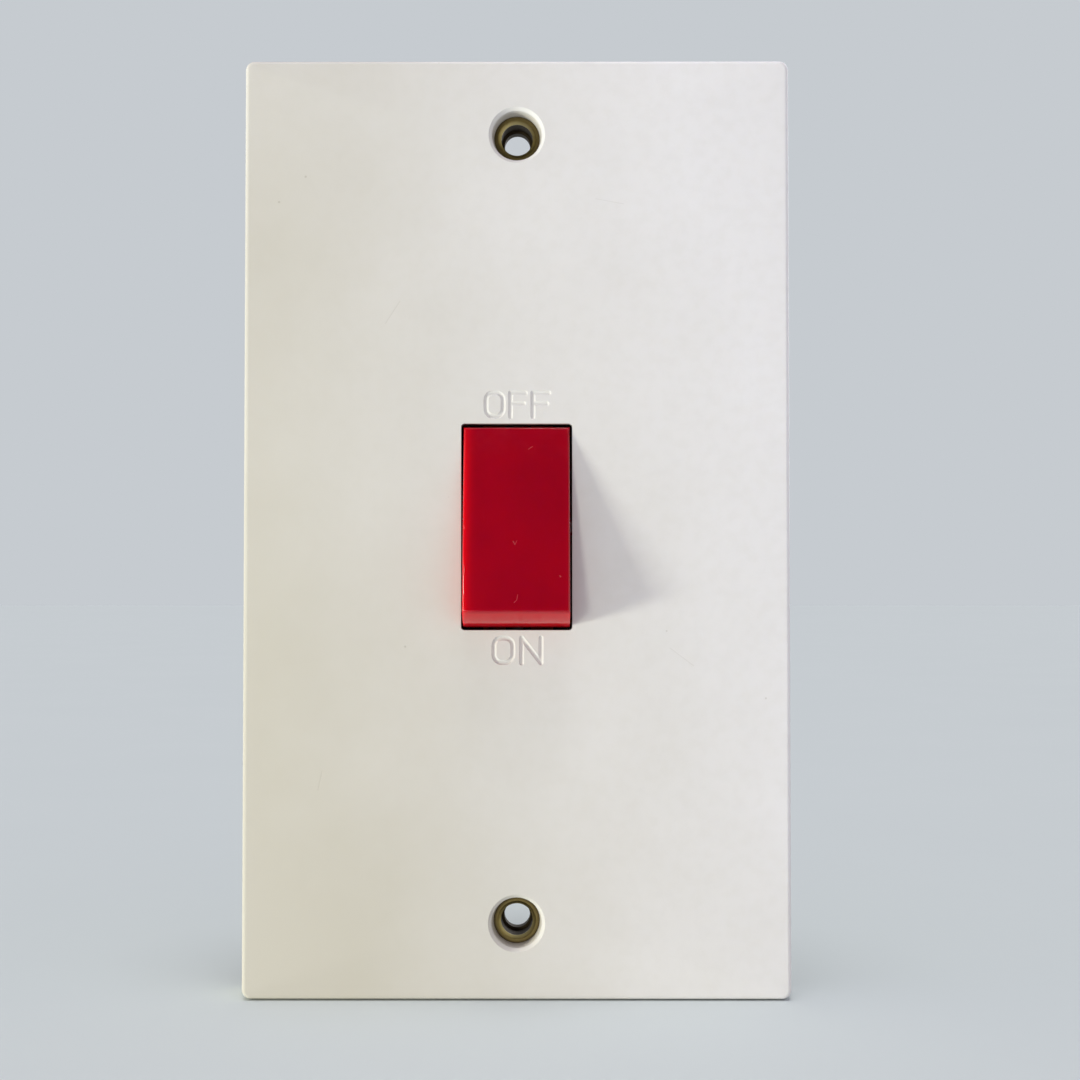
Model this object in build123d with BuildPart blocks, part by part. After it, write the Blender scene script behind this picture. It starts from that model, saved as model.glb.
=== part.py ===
"""A cooker control switch: a double-pole rocker switch on a tall white wall plate.

Frame: X to the right, Z up and Y into the wall. The origin is the middle of the plate on
the wall plane, y = 0, so the front face lies at negative y and the switch reaches into
the wall box at positive y. All sizes are in millimetres. The switch is drawn OFF, with
the lower end of the rocker standing proud.
"""

from build123d import *
import math
import os

# Front plate
FIXING_CENTRES = 120.6
PLATE_END_MARGIN = 11.7
PLATE_WIDTH = 84.0
PLATE_DEPTH = 8.0
PLATE_WEB = 2.2
PLATE_RIM = 2.2
PLATE_CORNER_RADIUS = 1.6
PLATE_EDGE_RADIUS = 0.7
PLATE_DRAFT_DEG = 1.5

# Recess and pillar around each fixing screw
RECESS_MOUTH_RADIUS = 4.35
RECESS_LIP_RADIUS = 0.5
RECESS_DEPTH = 2.4
PILLAR_WALL = 2.2

# Brass bush in each fixing hole
BUSH_HEAD_RADIUS = 3.5
BUSH_HEAD_LENGTH = 2.2
BUSH_SHANK_RADIUS = 2.9
BUSH_MOUTH_RADIUS = 2.95
BUSH_BEVEL = 0.5
BUSH_BORE_RADIUS = 2.0
BUSH_BORE_LENGTH = 1.7
BUSH_TAIL_RADIUS = 3.7
BUSH_TAIL = 0.2

# Rocker
ROCKER_WIDTH = 16.2
ROCKER_LENGTH = 28.4
ROCKER_FACE_HEIGHT = 6.3
ROCKER_SWING_DEG = 21.0
ROCKER_WALL = 1.5
ROCKER_SKIRT = 1.0
ROCKER_EDGE_RADIUS = 0.4
PIVOT_DEPTH = 3.5
TRUNNION_RADIUS = 1.2
TRUNNION_LENGTH = 2.5
TRUNNION_EAR_RADIUS = 2.4
APERTURE_SIDE_GAP = 0.4
APERTURE_END_GAP = 0.27
APERTURE_CORNER_RADIUS = 0.5

# Plungers and their springs, one for each pole
POLE_X = 3.9
PLUNGER_RADIUS = 1.62
PLUNGER_NOSE_RADIUS = 0.6
PLUNGER_NOSE_LENGTH = 0.6
PLUNGER_LENGTH = 8.5
PLUNGER_BORE_DEPTH = 5.2
PLUNGER_TIP_GAP = 0.1
PLUNGER_WALL = 0.4
BOSS_RADIUS = 2.5
BOSS_REACH = 5.0
BOSS_BORE_DEPTH = 8.5
SPRING_WIRE_RADIUS = 0.15
SPRING_SIDE_GAP = 0.1
SPRING_TURNS = 5

# Contact arms, which rock on the fold of the supply strips
FULCRUM_DISTANCE = 10.0
ARM_SWING_DEG = 18.0
ARM_WIDTH = 5.4
ARM_LENGTH = 22.0
ARM_THICKNESS = 1.2
ARM_SEAT_DEPTH = 0.65
ARM_CHEEK = 0.8
ARM_CHEEK_RADIUS = 3.0
CONTACT_END_MARGIN = 1.7
CONTACT_RADIUS = 1.9
CONTACT_THICKNESS = 1.0
CONTACT_FLAT_RADIUS = 0.6
FIXED_CONTACT_HEIGHT = 0.8

# Copper strips
STRIP_THICKNESS = 1.2
STRIP_FOLD_RADIUS = 1.8
STRIP_FOOT = 3.6
STRIP_TAIL_WIDTH = 5.5
STRIP_TAIL_START = 18.4
LOAD_STRIP_START = 6.6

# Brass tunnel terminals, two for each pole
TERMINAL_X = 13.2
TERMINAL_WIDTH = 9.6
TERMINAL_DEPTH = 12.0
TERMINAL_LENGTH = 15.0
TERMINAL_START = 14.6
TUNNEL_RADIUS = 3.3
TUNNEL_OFFSET = 4.4
TERMINAL_CHAMFER = 0.5
TERMINAL_SCREW_RADIUS = 2.4
TERMINAL_SCREW_SPACING = 7.4
TERMINAL_SCREW_LENGTH = 6.5

# Black carrier and base mouldings
MODULE_WALL = 1.9
MODULE_EDGE_RADIUS = 1.2
MODULE_CHAMFER = 0.8
CARRIER_DEPTH = 5.25
CARRIER_WELL_GAP = 0.6
BASE_BACK_WALL = 3.2
BARRIER = 1.6
CHAMBER_SIDE_GAP = 1.3
ARM_STOP_WIDTH = 1.6
CABLE_MOUTH_RADIUS = 4.0
CABLE_MOUTH_FLARE = 0.8
KEEP = 4.0
KEEP_INSET = 2.5
LUG_X = 24.0
LUG_Z = 18.0
LUG_RADIUS = 3.6
LUG_THICKNESS = 2.8
CARRIER_SCREW_Z = 27.5
CARRIER_SCREW_RADIUS = 1.4
CARRIER_SCREW_LENGTH = 14.0
CARRIER_SCREW_HEAD_RADIUS = 2.7
CARRIER_SCREW_HEAD = 1.6

# Screws that hold the switch to the plate
PLATE_SCREW_RADIUS = 1.3
PLATE_SCREW_LENGTH = 6.0
PLATE_SCREW_HEAD_RADIUS = 2.6
PLATE_SCREW_HEAD = 1.8
PLATE_BOSS_WALL = 1.9

# Earth strap and terminal
STRAP_THICKNESS = 0.8
STRAP_WIDTH = 6.0
STRAP_RIM_GAP = 1.4
STRAP_RING_RADIUS = 5.0
STRAP_PAD_Z = 22.0
STRAP_PAD = 3.0
EARTH_Z = -38.0
EARTH_WIDTH = 8.0
EARTH_DEPTH = 9.0
EARTH_LENGTH = 13.0
EARTH_TUNNEL_RADIUS = 2.6
EARTH_TUNNEL_OFFSET = 3.8
EARTH_SCREW_RADIUS = 1.9
EARTH_SCREW_SPACING = 6.4
EARTH_SCREW_LENGTH = 5.0

# Stiffening ribs behind the plate
RIB = 1.4
RIB_HEIGHT = 2.0
RIB_GAP = 1.0

# Clearances and small shared details
RUNNING_FIT = 0.05
LOOSE_FIT = 0.15
SEAT_GAP = 0.05
DRIVER_GAP = 0.6
SLOT_WIDTH = 1.0
SLOT_DEPTH = 1.1

# Depths worked out from the sizes above, from the front to the back
PLATE_FRONT = -PLATE_DEPTH
WEB_REAR = PLATE_FRONT + PLATE_WEB
PIVOT_Y = PLATE_FRONT + PIVOT_DEPTH
CARRIER_FRONT = WEB_REAR + SEAT_GAP
CARRIER_REAR = CARRIER_FRONT + CARRIER_DEPTH
FULCRUM_Y = PIVOT_Y + FULCRUM_DISTANCE
ROCKER_TILT = math.radians(ROCKER_SWING_DEG / 2)
ARM_TILT = math.radians(ARM_SWING_DEG / 2)

# Arm surfaces, measured from the fulcrum towards the front
ARM_GROOVE_RADIUS = STRIP_FOLD_RADIUS + RUNNING_FIT
ARM_REAR = ARM_GROOVE_RADIUS - ARM_SEAT_DEPTH
ARM_FRONT = ARM_REAR + ARM_THICKNESS

# The moving contact's face is coned by the tilt of the arm, so that at ON one side of the
# cone lies flat against the fixed contact
CONTACT_REACH = ARM_LENGTH / 2 - CONTACT_END_MARGIN
CONTACT_FACE = CONTACT_THICKNESS - ARM_REAR
CONTACT_BEVEL = (CONTACT_RADIUS - CONTACT_FLAT_RADIUS) * math.tan(ARM_TILT)
MEETING_Y = (
    FULCRUM_Y
    + CONTACT_FACE * math.cos(ARM_TILT)
    + (CONTACT_REACH + CONTACT_FLAT_RADIUS) * math.sin(ARM_TILT)
    + SEAT_GAP
)
MEETING_Z = (
    (CONTACT_REACH + (CONTACT_RADIUS + CONTACT_FLAT_RADIUS) / 2) * math.cos(ARM_TILT)
    - CONTACT_FACE * math.sin(ARM_TILT)
)
STRIP_FRONT = MEETING_Y + FIXED_CONTACT_HEIGHT
STRIP_REAR = STRIP_FRONT + STRIP_THICKNESS
TERMINAL_REAR = STRIP_REAR + TERMINAL_DEPTH
TUNNEL_Y = STRIP_REAR + TUNNEL_OFFSET
BASE_REAR = TERMINAL_REAR + BASE_BACK_WALL

# Outlines worked out from the sizes above
ROCKER_END_RADIUS = math.hypot(ROCKER_LENGTH / 2, ROCKER_FACE_HEIGHT)
APERTURE_WIDTH = ROCKER_WIDTH + 2 * APERTURE_SIDE_GAP
APERTURE_LENGTH = 2 * (ROCKER_END_RADIUS + APERTURE_END_GAP)
WELL_WIDTH = APERTURE_WIDTH + 2 * SEAT_GAP
WELL_LENGTH = 2 * (ROCKER_END_RADIUS + CARRIER_WELL_GAP)
PLUNGER_REACH = FULCRUM_DISTANCE - ARM_FRONT - PLUNGER_TIP_GAP
PLUNGER_BORE_RADIUS = PLUNGER_RADIUS - PLUNGER_WALL
SPRING_RADIUS = PLUNGER_BORE_RADIUS - SPRING_SIDE_GAP - SPRING_WIRE_RADIUS
STRIP_WIDTH = ARM_WIDTH - 2 * (ARM_CHEEK + SPRING_SIDE_GAP)
STRIP_INNER_X = POLE_X - STRIP_WIDTH / 2
STRIP_TAIL_END = STRIP_TAIL_START + STRIP_TAIL_WIDTH
TERMINAL_MID_Z = TERMINAL_START + TERMINAL_LENGTH / 2
TERMINAL_OUTER_X = TERMINAL_X + TERMINAL_WIDTH / 2
CHAMBER_INNER_X = BARRIER / 2
CHAMBER_OUTER_X = POLE_X + ARM_WIDTH / 2 + CHAMBER_SIDE_GAP
MODULE_WIDTH = 2 * (TERMINAL_OUTER_X + LOOSE_FIT + MODULE_WALL)
MODULE_LENGTH = 2 * (TERMINAL_START + TERMINAL_LENGTH + LOOSE_FIT + MODULE_WALL)
LUG_FRONT = CARRIER_REAR - LUG_THICKNESS
STRAP_REAR = -BUSH_TAIL
PILLAR_REAR = STRAP_REAR - STRAP_THICKNESS
PILLAR_RADIUS = BUSH_HEAD_RADIUS + LOOSE_FIT + PILLAR_WALL
PLATE_HEIGHT = FIXING_CENTRES + 2 * PLATE_END_MARGIN
RIM_INNER_WIDTH = PLATE_WIDTH - 2 * PLATE_RIM
RIM_INNER_HEIGHT = PLATE_HEIGHT - 2 * PLATE_RIM
STRAP_X = RIM_INNER_WIDTH / 2 - STRAP_RIM_GAP - STRAP_WIDTH / 2
BOTH_ENDS = (-1, 1)
FIXING_HEIGHTS = (FIXING_CENTRES / 2, -FIXING_CENTRES / 2)
LUG_PLACES = [(x * LUG_X, z * LUG_Z) for x in BOTH_ENDS for z in BOTH_ENDS]


def level(y):
    """The plane at depth y, seen from the front: its X is right, its Y is up."""
    return Plane.XZ.offset(-y)


def hole_axis(x, z):
    """The line at x, z that runs straight into the wall."""
    return Axis((x, 0, z), (0, 1, 0))


# The side view of each tilted piece: its X runs into the wall and its Y runs up the piece.
# Zero tilt is half way between ON and OFF.
ROCKER_SIDE = Plane(
    origin=(0, PIVOT_Y, 0),
    x_dir=(0, math.cos(ROCKER_TILT), -math.sin(ROCKER_TILT)),
    z_dir=(1, 0, 0),
)
ARM_SIDE = Plane(
    origin=(0, FULCRUM_Y, 0),
    x_dir=(0, math.cos(ARM_TILT), math.sin(ARM_TILT)),
    z_dir=(1, 0, 0),
)
# The plan of each tilted piece, square to the side view: its normal runs into the wall.
ROCKER_PLAN = Plane(origin=ROCKER_SIDE.origin, x_dir=(1, 0, 0), z_dir=ROCKER_SIDE.x_dir)
ARM_PLAN = Plane(origin=ARM_SIDE.origin, x_dir=(1, 0, 0), z_dir=ARM_SIDE.x_dir)

os.makedirs("parts", exist_ok=True)


# White front plate: a drafted shell with a web, pillars, bosses and ribs behind it
with BuildPart() as front_plate:
    with BuildSketch(level(0)):
        RectangleRounded(PLATE_WIDTH, PLATE_HEIGHT, PLATE_CORNER_RADIUS)
    extrude(amount=PLATE_DEPTH, taper=PLATE_DRAFT_DEG)
    fillet(front_plate.faces().sort_by(Axis.Y)[0].edges(), PLATE_EDGE_RADIUS)
    with BuildSketch(level(0)):
        Rectangle(RIM_INNER_WIDTH, RIM_INNER_HEIGHT)
    extrude(amount=-WEB_REAR, taper=PLATE_DRAFT_DEG, mode=Mode.SUBTRACT)
    # pillars that carry the bushes, and posts that carry the strap
    with BuildSketch(level(PILLAR_REAR)):
        with Locations(*[(0, z) for z in FIXING_HEIGHTS]):
            Circle(PILLAR_RADIUS)
        with Locations(*[(-STRAP_X, z) for z in (-STRAP_PAD_Z, STRAP_PAD_Z, EARTH_Z)]):
            Rectangle(STRAP_WIDTH, STRAP_PAD)
    extrude(amount=PILLAR_REAR - WEB_REAR)
    # bosses for the screws that hold the switch
    with BuildSketch(level(LUG_FRONT - SEAT_GAP)):
        with Locations(*LUG_PLACES):
            Circle(PLATE_SCREW_RADIUS + PLATE_BOSS_WALL)
    extrude(amount=LUG_FRONT - SEAT_GAP - WEB_REAR)
    # ribs above and below the switch, and from each pillar to them and to the rim
    rib_z = MODULE_LENGTH / 2 + RIB_GAP + RIB / 2
    rim_z = RIM_INNER_HEIGHT / 2
    with BuildSketch(level(WEB_REAR + RIB_HEIGHT)):
        with Locations(*[(0, end * rib_z) for end in BOTH_ENDS]):
            Rectangle(RIM_INNER_WIDTH, RIB)
        with Locations(*[(0, end * (rib_z + rim_z) / 2) for end in BOTH_ENDS]):
            Rectangle(RIB, rim_z - rib_z)
    extrude(amount=RIB_HEIGHT)
    # aperture for the rocker
    with BuildSketch(level(PLATE_FRONT)):
        RectangleRounded(APERTURE_WIDTH, APERTURE_LENGTH, APERTURE_CORNER_RADIUS)
    extrude(amount=-PLATE_WEB, mode=Mode.SUBTRACT)
    # recess and seat for each bush: a rounded mouth, a cone, then two bores
    seat_y = PLATE_FRONT + RECESS_DEPTH
    shoulder_y = seat_y + BUSH_HEAD_LENGTH + SEAT_GAP
    for z in FIXING_HEIGHTS:
        with BuildSketch(Plane.YZ):
            with BuildLine():
                Polyline(
                    (PLATE_FRONT, z),
                    (PLATE_FRONT, z + RECESS_MOUTH_RADIUS),
                    (PLATE_FRONT + RECESS_LIP_RADIUS, z + RECESS_MOUTH_RADIUS - RECESS_LIP_RADIUS),
                    (seat_y, z + BUSH_HEAD_RADIUS + RUNNING_FIT),
                    (shoulder_y, z + BUSH_HEAD_RADIUS + RUNNING_FIT),
                    (shoulder_y, z + BUSH_SHANK_RADIUS + RUNNING_FIT),
                    (0, z + BUSH_SHANK_RADIUS + RUNNING_FIT),
                    (0, z),
                    close=True,
                )
            make_face()
        revolve(axis=hole_axis(0, z), mode=Mode.SUBTRACT)
    # pilot holes for the screws that hold the switch
    with BuildSketch(level(LUG_FRONT)):
        with Locations(*LUG_PLACES):
            Circle(PLATE_SCREW_RADIUS + RUNNING_FIT)
    extrude(amount=PLATE_SCREW_LENGTH - LUG_THICKNESS + LOOSE_FIT, mode=Mode.SUBTRACT)
front_plate.part.label = "front_plate"
export_step(front_plate.part, "parts/front_plate.step")

# Brass bushes: a bevelled mouth, a stepped bore and a tail rolled over the strap
for name, z in zip(("upper_screw_bush", "lower_screw_bush"), FIXING_HEIGHTS):
    with BuildPart() as bush:
        with BuildSketch(Plane.YZ):
            with BuildLine():
                Polyline(
                    (seat_y, z + BUSH_HEAD_RADIUS),
                    (seat_y + BUSH_HEAD_LENGTH, z + BUSH_HEAD_RADIUS),
                    (seat_y + BUSH_HEAD_LENGTH, z + BUSH_SHANK_RADIUS),
                    (STRAP_REAR, z + BUSH_SHANK_RADIUS),
                    (STRAP_REAR, z + BUSH_TAIL_RADIUS),
                    (0, z + BUSH_TAIL_RADIUS),
                    (0, z + BUSH_BORE_RADIUS),
                    (-BUSH_BORE_LENGTH, z + BUSH_BORE_RADIUS),
                    (-BUSH_BORE_LENGTH, z + BUSH_MOUTH_RADIUS - BUSH_BEVEL),
                    (seat_y + BUSH_BEVEL, z + BUSH_MOUTH_RADIUS - BUSH_BEVEL),
                    (seat_y, z + BUSH_MOUTH_RADIUS),
                    close=True,
                )
            make_face()
        revolve(axis=hole_axis(0, z))
    bush.part.label = name
    export_step(bush.part, f"parts/{name}.step")

# Red rocker: a hollow tile whose ends are arcs about the pivot
half_width = ROCKER_WIDTH / 2
boss_floor = BOSS_REACH - BOSS_BORE_DEPTH
with BuildPart() as rocker:
    with BuildSketch(ROCKER_SIDE):
        Circle(ROCKER_END_RADIUS)
        with Locations((ROCKER_SKIRT / 2 - ROCKER_FACE_HEIGHT / 2, 0)):
            Rectangle(
                ROCKER_FACE_HEIGHT + ROCKER_SKIRT, 2 * ROCKER_END_RADIUS, mode=Mode.INTERSECT
            )
    extrude(amount=half_width, both=True)
    fillet(
        rocker.faces().sort_by(Axis(ROCKER_SIDE.origin, ROCKER_SIDE.x_dir))[0].edges(),
        ROCKER_EDGE_RADIUS,
    )
    with BuildSketch(ROCKER_SIDE):
        Circle(ROCKER_END_RADIUS - ROCKER_WALL)
        with Locations((ROCKER_SKIRT - (ROCKER_FACE_HEIGHT + ROCKER_SKIRT - ROCKER_WALL) / 2, 0)):
            Rectangle(
                ROCKER_FACE_HEIGHT + ROCKER_SKIRT - ROCKER_WALL,
                2 * ROCKER_END_RADIUS,
                mode=Mode.INTERSECT,
            )
    extrude(amount=half_width - ROCKER_WALL, both=True, mode=Mode.SUBTRACT)
    # ears that carry the trunnions, and the trunnions
    with BuildSketch(ROCKER_SIDE):
        Circle(TRUNNION_EAR_RADIUS)
    extrude(amount=half_width, both=True)
    with BuildSketch(ROCKER_SIDE):
        Circle(TRUNNION_EAR_RADIUS + ROCKER_WALL)
    extrude(amount=half_width - ROCKER_WALL, both=True, mode=Mode.SUBTRACT)
    with BuildSketch(ROCKER_SIDE):
        Circle(TRUNNION_RADIUS)
    extrude(amount=half_width + TRUNNION_LENGTH, both=True)
    with BuildSketch(ROCKER_SIDE):
        Circle(TRUNNION_EAR_RADIUS)
    extrude(amount=half_width - ROCKER_WALL, both=True, mode=Mode.SUBTRACT)
    # bosses, and the blind bores that guide the plungers
    with BuildSketch(ROCKER_PLAN.offset(BOSS_REACH)):
        with Locations((-POLE_X, 0), (POLE_X, 0)):
            Circle(BOSS_RADIUS)
    extrude(amount=-(BOSS_REACH + ROCKER_FACE_HEIGHT - ROCKER_WALL / 2))
    with BuildSketch(ROCKER_PLAN.offset(BOSS_REACH)):
        with Locations((-POLE_X, 0), (POLE_X, 0)):
            Circle(PLUNGER_RADIUS + RUNNING_FIT)
    extrude(amount=-BOSS_BORE_DEPTH, mode=Mode.SUBTRACT)
rocker.part.label = "rocker"
export_step(rocker.part, "parts/rocker.step")

# Plungers, hollow behind for the springs, and the springs that push them on to the arms
plunger_rear = PLUNGER_REACH - PLUNGER_LENGTH
for name, x in (("live", -POLE_X), ("neutral", POLE_X)):
    along = ROCKER_SIDE.offset(x)
    axis = Axis(along.origin, along.x_dir)
    with BuildPart() as plunger:
        with BuildSketch(along):
            with BuildLine():
                Polyline(
                    (PLUNGER_REACH, 0),
                    (PLUNGER_REACH, PLUNGER_NOSE_RADIUS),
                    (PLUNGER_REACH - PLUNGER_NOSE_LENGTH, PLUNGER_RADIUS),
                    (plunger_rear, PLUNGER_RADIUS),
                    (plunger_rear, PLUNGER_BORE_RADIUS),
                    (plunger_rear + PLUNGER_BORE_DEPTH, PLUNGER_BORE_RADIUS),
                    (plunger_rear + PLUNGER_BORE_DEPTH, 0),
                    close=True,
                )
            make_face()
        revolve(axis=axis)
    plunger.part.label = f"{name}_plunger"
    export_step(plunger.part, f"parts/{name}_plunger.step")

    spring_start = boss_floor + SPRING_WIRE_RADIUS + RUNNING_FIT
    spring_end = plunger_rear + PLUNGER_BORE_DEPTH - SPRING_WIRE_RADIUS - RUNNING_FIT
    spring_length = spring_end - spring_start
    with BuildPart() as spring:
        with BuildLine():
            coil = Helix(
                pitch=spring_length / SPRING_TURNS,
                height=spring_length,
                radius=SPRING_RADIUS,
                center=along.from_local_coords((spring_start, 0, 0)),
                direction=along.x_dir,
            )
        with BuildSketch(Plane(origin=coil @ 0, z_dir=coil % 0)):
            RegularPolygon(SPRING_WIRE_RADIUS, 4)
        sweep(path=coil)
    spring.part.label = f"{name}_plunger_spring"
    export_step(spring.part, f"parts/{name}_plunger_spring.step")

# Contact parts of each pole, with the live pole on the left seen from the front
for name, side in (("live", -1), ("neutral", 1)):
    pole_x = side * POLE_X

    # copper arm: a flat bar grooved to sit on the fold, with a cheek down each side
    with BuildPart() as arm:
        with BuildSketch(ARM_SIDE.offset(pole_x)):
            with Locations((-(ARM_FRONT + ARM_REAR) / 2, 0)):
                Rectangle(ARM_THICKNESS, ARM_LENGTH)
        extrude(amount=ARM_WIDTH / 2, both=True)
        for cheek_x in (pole_x - ARM_WIDTH / 2, pole_x + ARM_WIDTH / 2 - ARM_CHEEK):
            with BuildSketch(ARM_SIDE.offset(cheek_x)):
                Circle(ARM_CHEEK_RADIUS)
                with Locations((-(ARM_REAR + ARM_CHEEK_RADIUS) / 2, 0)):
                    Rectangle(
                        ARM_CHEEK_RADIUS - ARM_REAR, 2 * ARM_CHEEK_RADIUS, mode=Mode.SUBTRACT
                    )
                with Locations((ARM_CHEEK_RADIUS / 2, 0)):
                    Rectangle(ARM_CHEEK_RADIUS, 2 * ARM_CHEEK_RADIUS, mode=Mode.SUBTRACT)
            extrude(amount=ARM_CHEEK)
        with BuildSketch(ARM_SIDE.offset(pole_x)):
            Circle(ARM_GROOVE_RADIUS)
        extrude(amount=ARM_WIDTH / 2, both=True, mode=Mode.SUBTRACT)
        ends = arm.edges().filter_by(Axis(ARM_SIDE.origin, ARM_SIDE.x_dir)).sort_by(Axis.Z)
        fillet(ends[:2] + ends[-2:], ARM_CHEEK)
    arm.part.label = f"{name}_contact_arm"
    export_step(arm.part, f"parts/{name}_contact_arm.step")

    # coned silver contact on the back of the arm's upper end
    contact_rim = CONTACT_REACH + CONTACT_RADIUS
    with BuildPart() as moving_contact:
        with BuildSketch(ARM_SIDE.offset(pole_x)):
            with BuildLine():
                Polyline(
                    (-ARM_REAR, CONTACT_REACH),
                    (-ARM_REAR, contact_rim),
                    (CONTACT_FACE - CONTACT_BEVEL, contact_rim),
                    (CONTACT_FACE, CONTACT_REACH + CONTACT_FLAT_RADIUS),
                    (CONTACT_FACE, CONTACT_REACH),
                    close=True,
                )
            make_face()
        centre = ARM_SIDE.offset(pole_x).from_local_coords((0, CONTACT_REACH, 0))
        revolve(axis=Axis(centre, ARM_SIDE.x_dir))
    moving_contact.part.label = f"{name}_moving_contact"
    export_step(moving_contact.part, f"parts/{name}_moving_contact.step")

    # supply strip: a fold for the arm to rock on, and a tail under the lower terminal
    with BuildPart() as supply_strip:
        with BuildSketch(Plane.YZ.offset(pole_x)):
            with Locations(((STRIP_FRONT + STRIP_REAR) / 2, (STRIP_FOOT - STRIP_TAIL_END) / 2)):
                Rectangle(STRIP_THICKNESS, STRIP_FOOT + STRIP_TAIL_END)
            with Locations(((FULCRUM_Y + STRIP_REAR) / 2, 0)):
                Rectangle(STRIP_REAR - FULCRUM_Y, 2 * STRIP_FOLD_RADIUS)
            with Locations((FULCRUM_Y, 0)):
                Circle(STRIP_FOLD_RADIUS)
                Circle(STRIP_FOLD_RADIUS - STRIP_THICKNESS, mode=Mode.SUBTRACT)
            with Locations(((FULCRUM_Y + STRIP_REAR) / 2, 0)):
                Rectangle(
                    STRIP_REAR - FULCRUM_Y,
                    2 * (STRIP_FOLD_RADIUS - STRIP_THICKNESS),
                    mode=Mode.SUBTRACT,
                )
        extrude(amount=STRIP_WIDTH / 2, both=True)
        with BuildSketch(level(STRIP_REAR)):
            with Locations((side * (STRIP_INNER_X + TERMINAL_X) / 2, -STRIP_TAIL_END)):
                Rectangle(TERMINAL_X - STRIP_INNER_X, STRIP_TAIL_WIDTH, align=(Align.CENTER, Align.MIN))
        extrude(amount=STRIP_THICKNESS)
    supply_strip.part.label = f"{name}_supply_strip"
    export_step(supply_strip.part, f"parts/{name}_supply_strip.step")

    # load strip: flat, from the fixed contact to the upper terminal
    with BuildPart() as load_strip:
        with BuildSketch(level(STRIP_REAR)):
            with Locations((pole_x, LOAD_STRIP_START)):
                Rectangle(
                    STRIP_WIDTH, STRIP_TAIL_END - LOAD_STRIP_START, align=(Align.CENTER, Align.MIN)
                )
            with Locations((side * (STRIP_INNER_X + TERMINAL_X) / 2, STRIP_TAIL_START)):
                Rectangle(TERMINAL_X - STRIP_INNER_X, STRIP_TAIL_WIDTH, align=(Align.CENTER, Align.MIN))
        extrude(amount=STRIP_THICKNESS)
    load_strip.part.label = f"{name}_load_strip"
    export_step(load_strip.part, f"parts/{name}_load_strip.step")

    # fixed silver contact, slightly coned like a rivet head
    with BuildPart() as fixed_contact:
        with BuildSketch(level(STRIP_FRONT)):
            with Locations((pole_x, MEETING_Z)):
                Circle(CONTACT_RADIUS)
        extrude(amount=FIXED_CONTACT_HEIGHT, taper=30)
    fixed_contact.part.label = f"{name}_fixed_contact"
    export_step(fixed_contact.part, f"parts/{name}_fixed_contact.step")

    # brass terminals: the load pair at the top and the supply pair at the bottom
    for use, end in (("load", 1), ("supply", -1)):
        with BuildPart() as terminal:
            with BuildSketch(level(STRIP_REAR)):
                with Locations((side * TERMINAL_X, end * TERMINAL_MID_Z)):
                    Rectangle(TERMINAL_WIDTH, TERMINAL_LENGTH)
            extrude(amount=-TERMINAL_DEPTH)
            chamfer(terminal.edges().filter_by(Axis.Z), TERMINAL_CHAMFER)
            with BuildSketch(Plane.XY.offset(end * TERMINAL_START)):
                with Locations((side * TERMINAL_X, TUNNEL_Y)):
                    Circle(TUNNEL_RADIUS)
            extrude(amount=end * TERMINAL_LENGTH, mode=Mode.SUBTRACT)
            with BuildSketch(level(TERMINAL_REAR)):
                with Locations((side * TERMINAL_X, end * TERMINAL_MID_Z)):
                    with GridLocations(1, TERMINAL_SCREW_SPACING, 1, 2):
                        Circle(TERMINAL_SCREW_RADIUS + RUNNING_FIT)
            extrude(amount=TERMINAL_REAR - TUNNEL_Y, mode=Mode.SUBTRACT)
        terminal.part.label = f"{name}_{use}_terminal"
        export_step(terminal.part, f"parts/{name}_{use}_terminal.step")

# Headless terminal screws, drawn slackened so that the tunnels are open
with BuildPart() as terminal_screws:
    for x in (-TERMINAL_X, TERMINAL_X):
        for mid in (-TERMINAL_MID_Z, TERMINAL_MID_Z):
            for step in (-TERMINAL_SCREW_SPACING / 2, TERMINAL_SCREW_SPACING / 2):
                with BuildSketch(level(TUNNEL_Y + TUNNEL_RADIUS)):
                    with Locations((x, mid + step)):
                        Circle(TERMINAL_SCREW_RADIUS)
                extrude(amount=-TERMINAL_SCREW_LENGTH)
                with BuildSketch(level(TUNNEL_Y + TUNNEL_RADIUS + TERMINAL_SCREW_LENGTH)):
                    with Locations((x, mid + step)):
                        Rectangle(3 * TERMINAL_SCREW_RADIUS, SLOT_WIDTH, rotation=20 * step)
                extrude(amount=SLOT_DEPTH, mode=Mode.SUBTRACT)
terminal_screws.part.label = "terminal_screws"
export_step(terminal_screws.part, "parts/terminal_screws.step")

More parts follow.
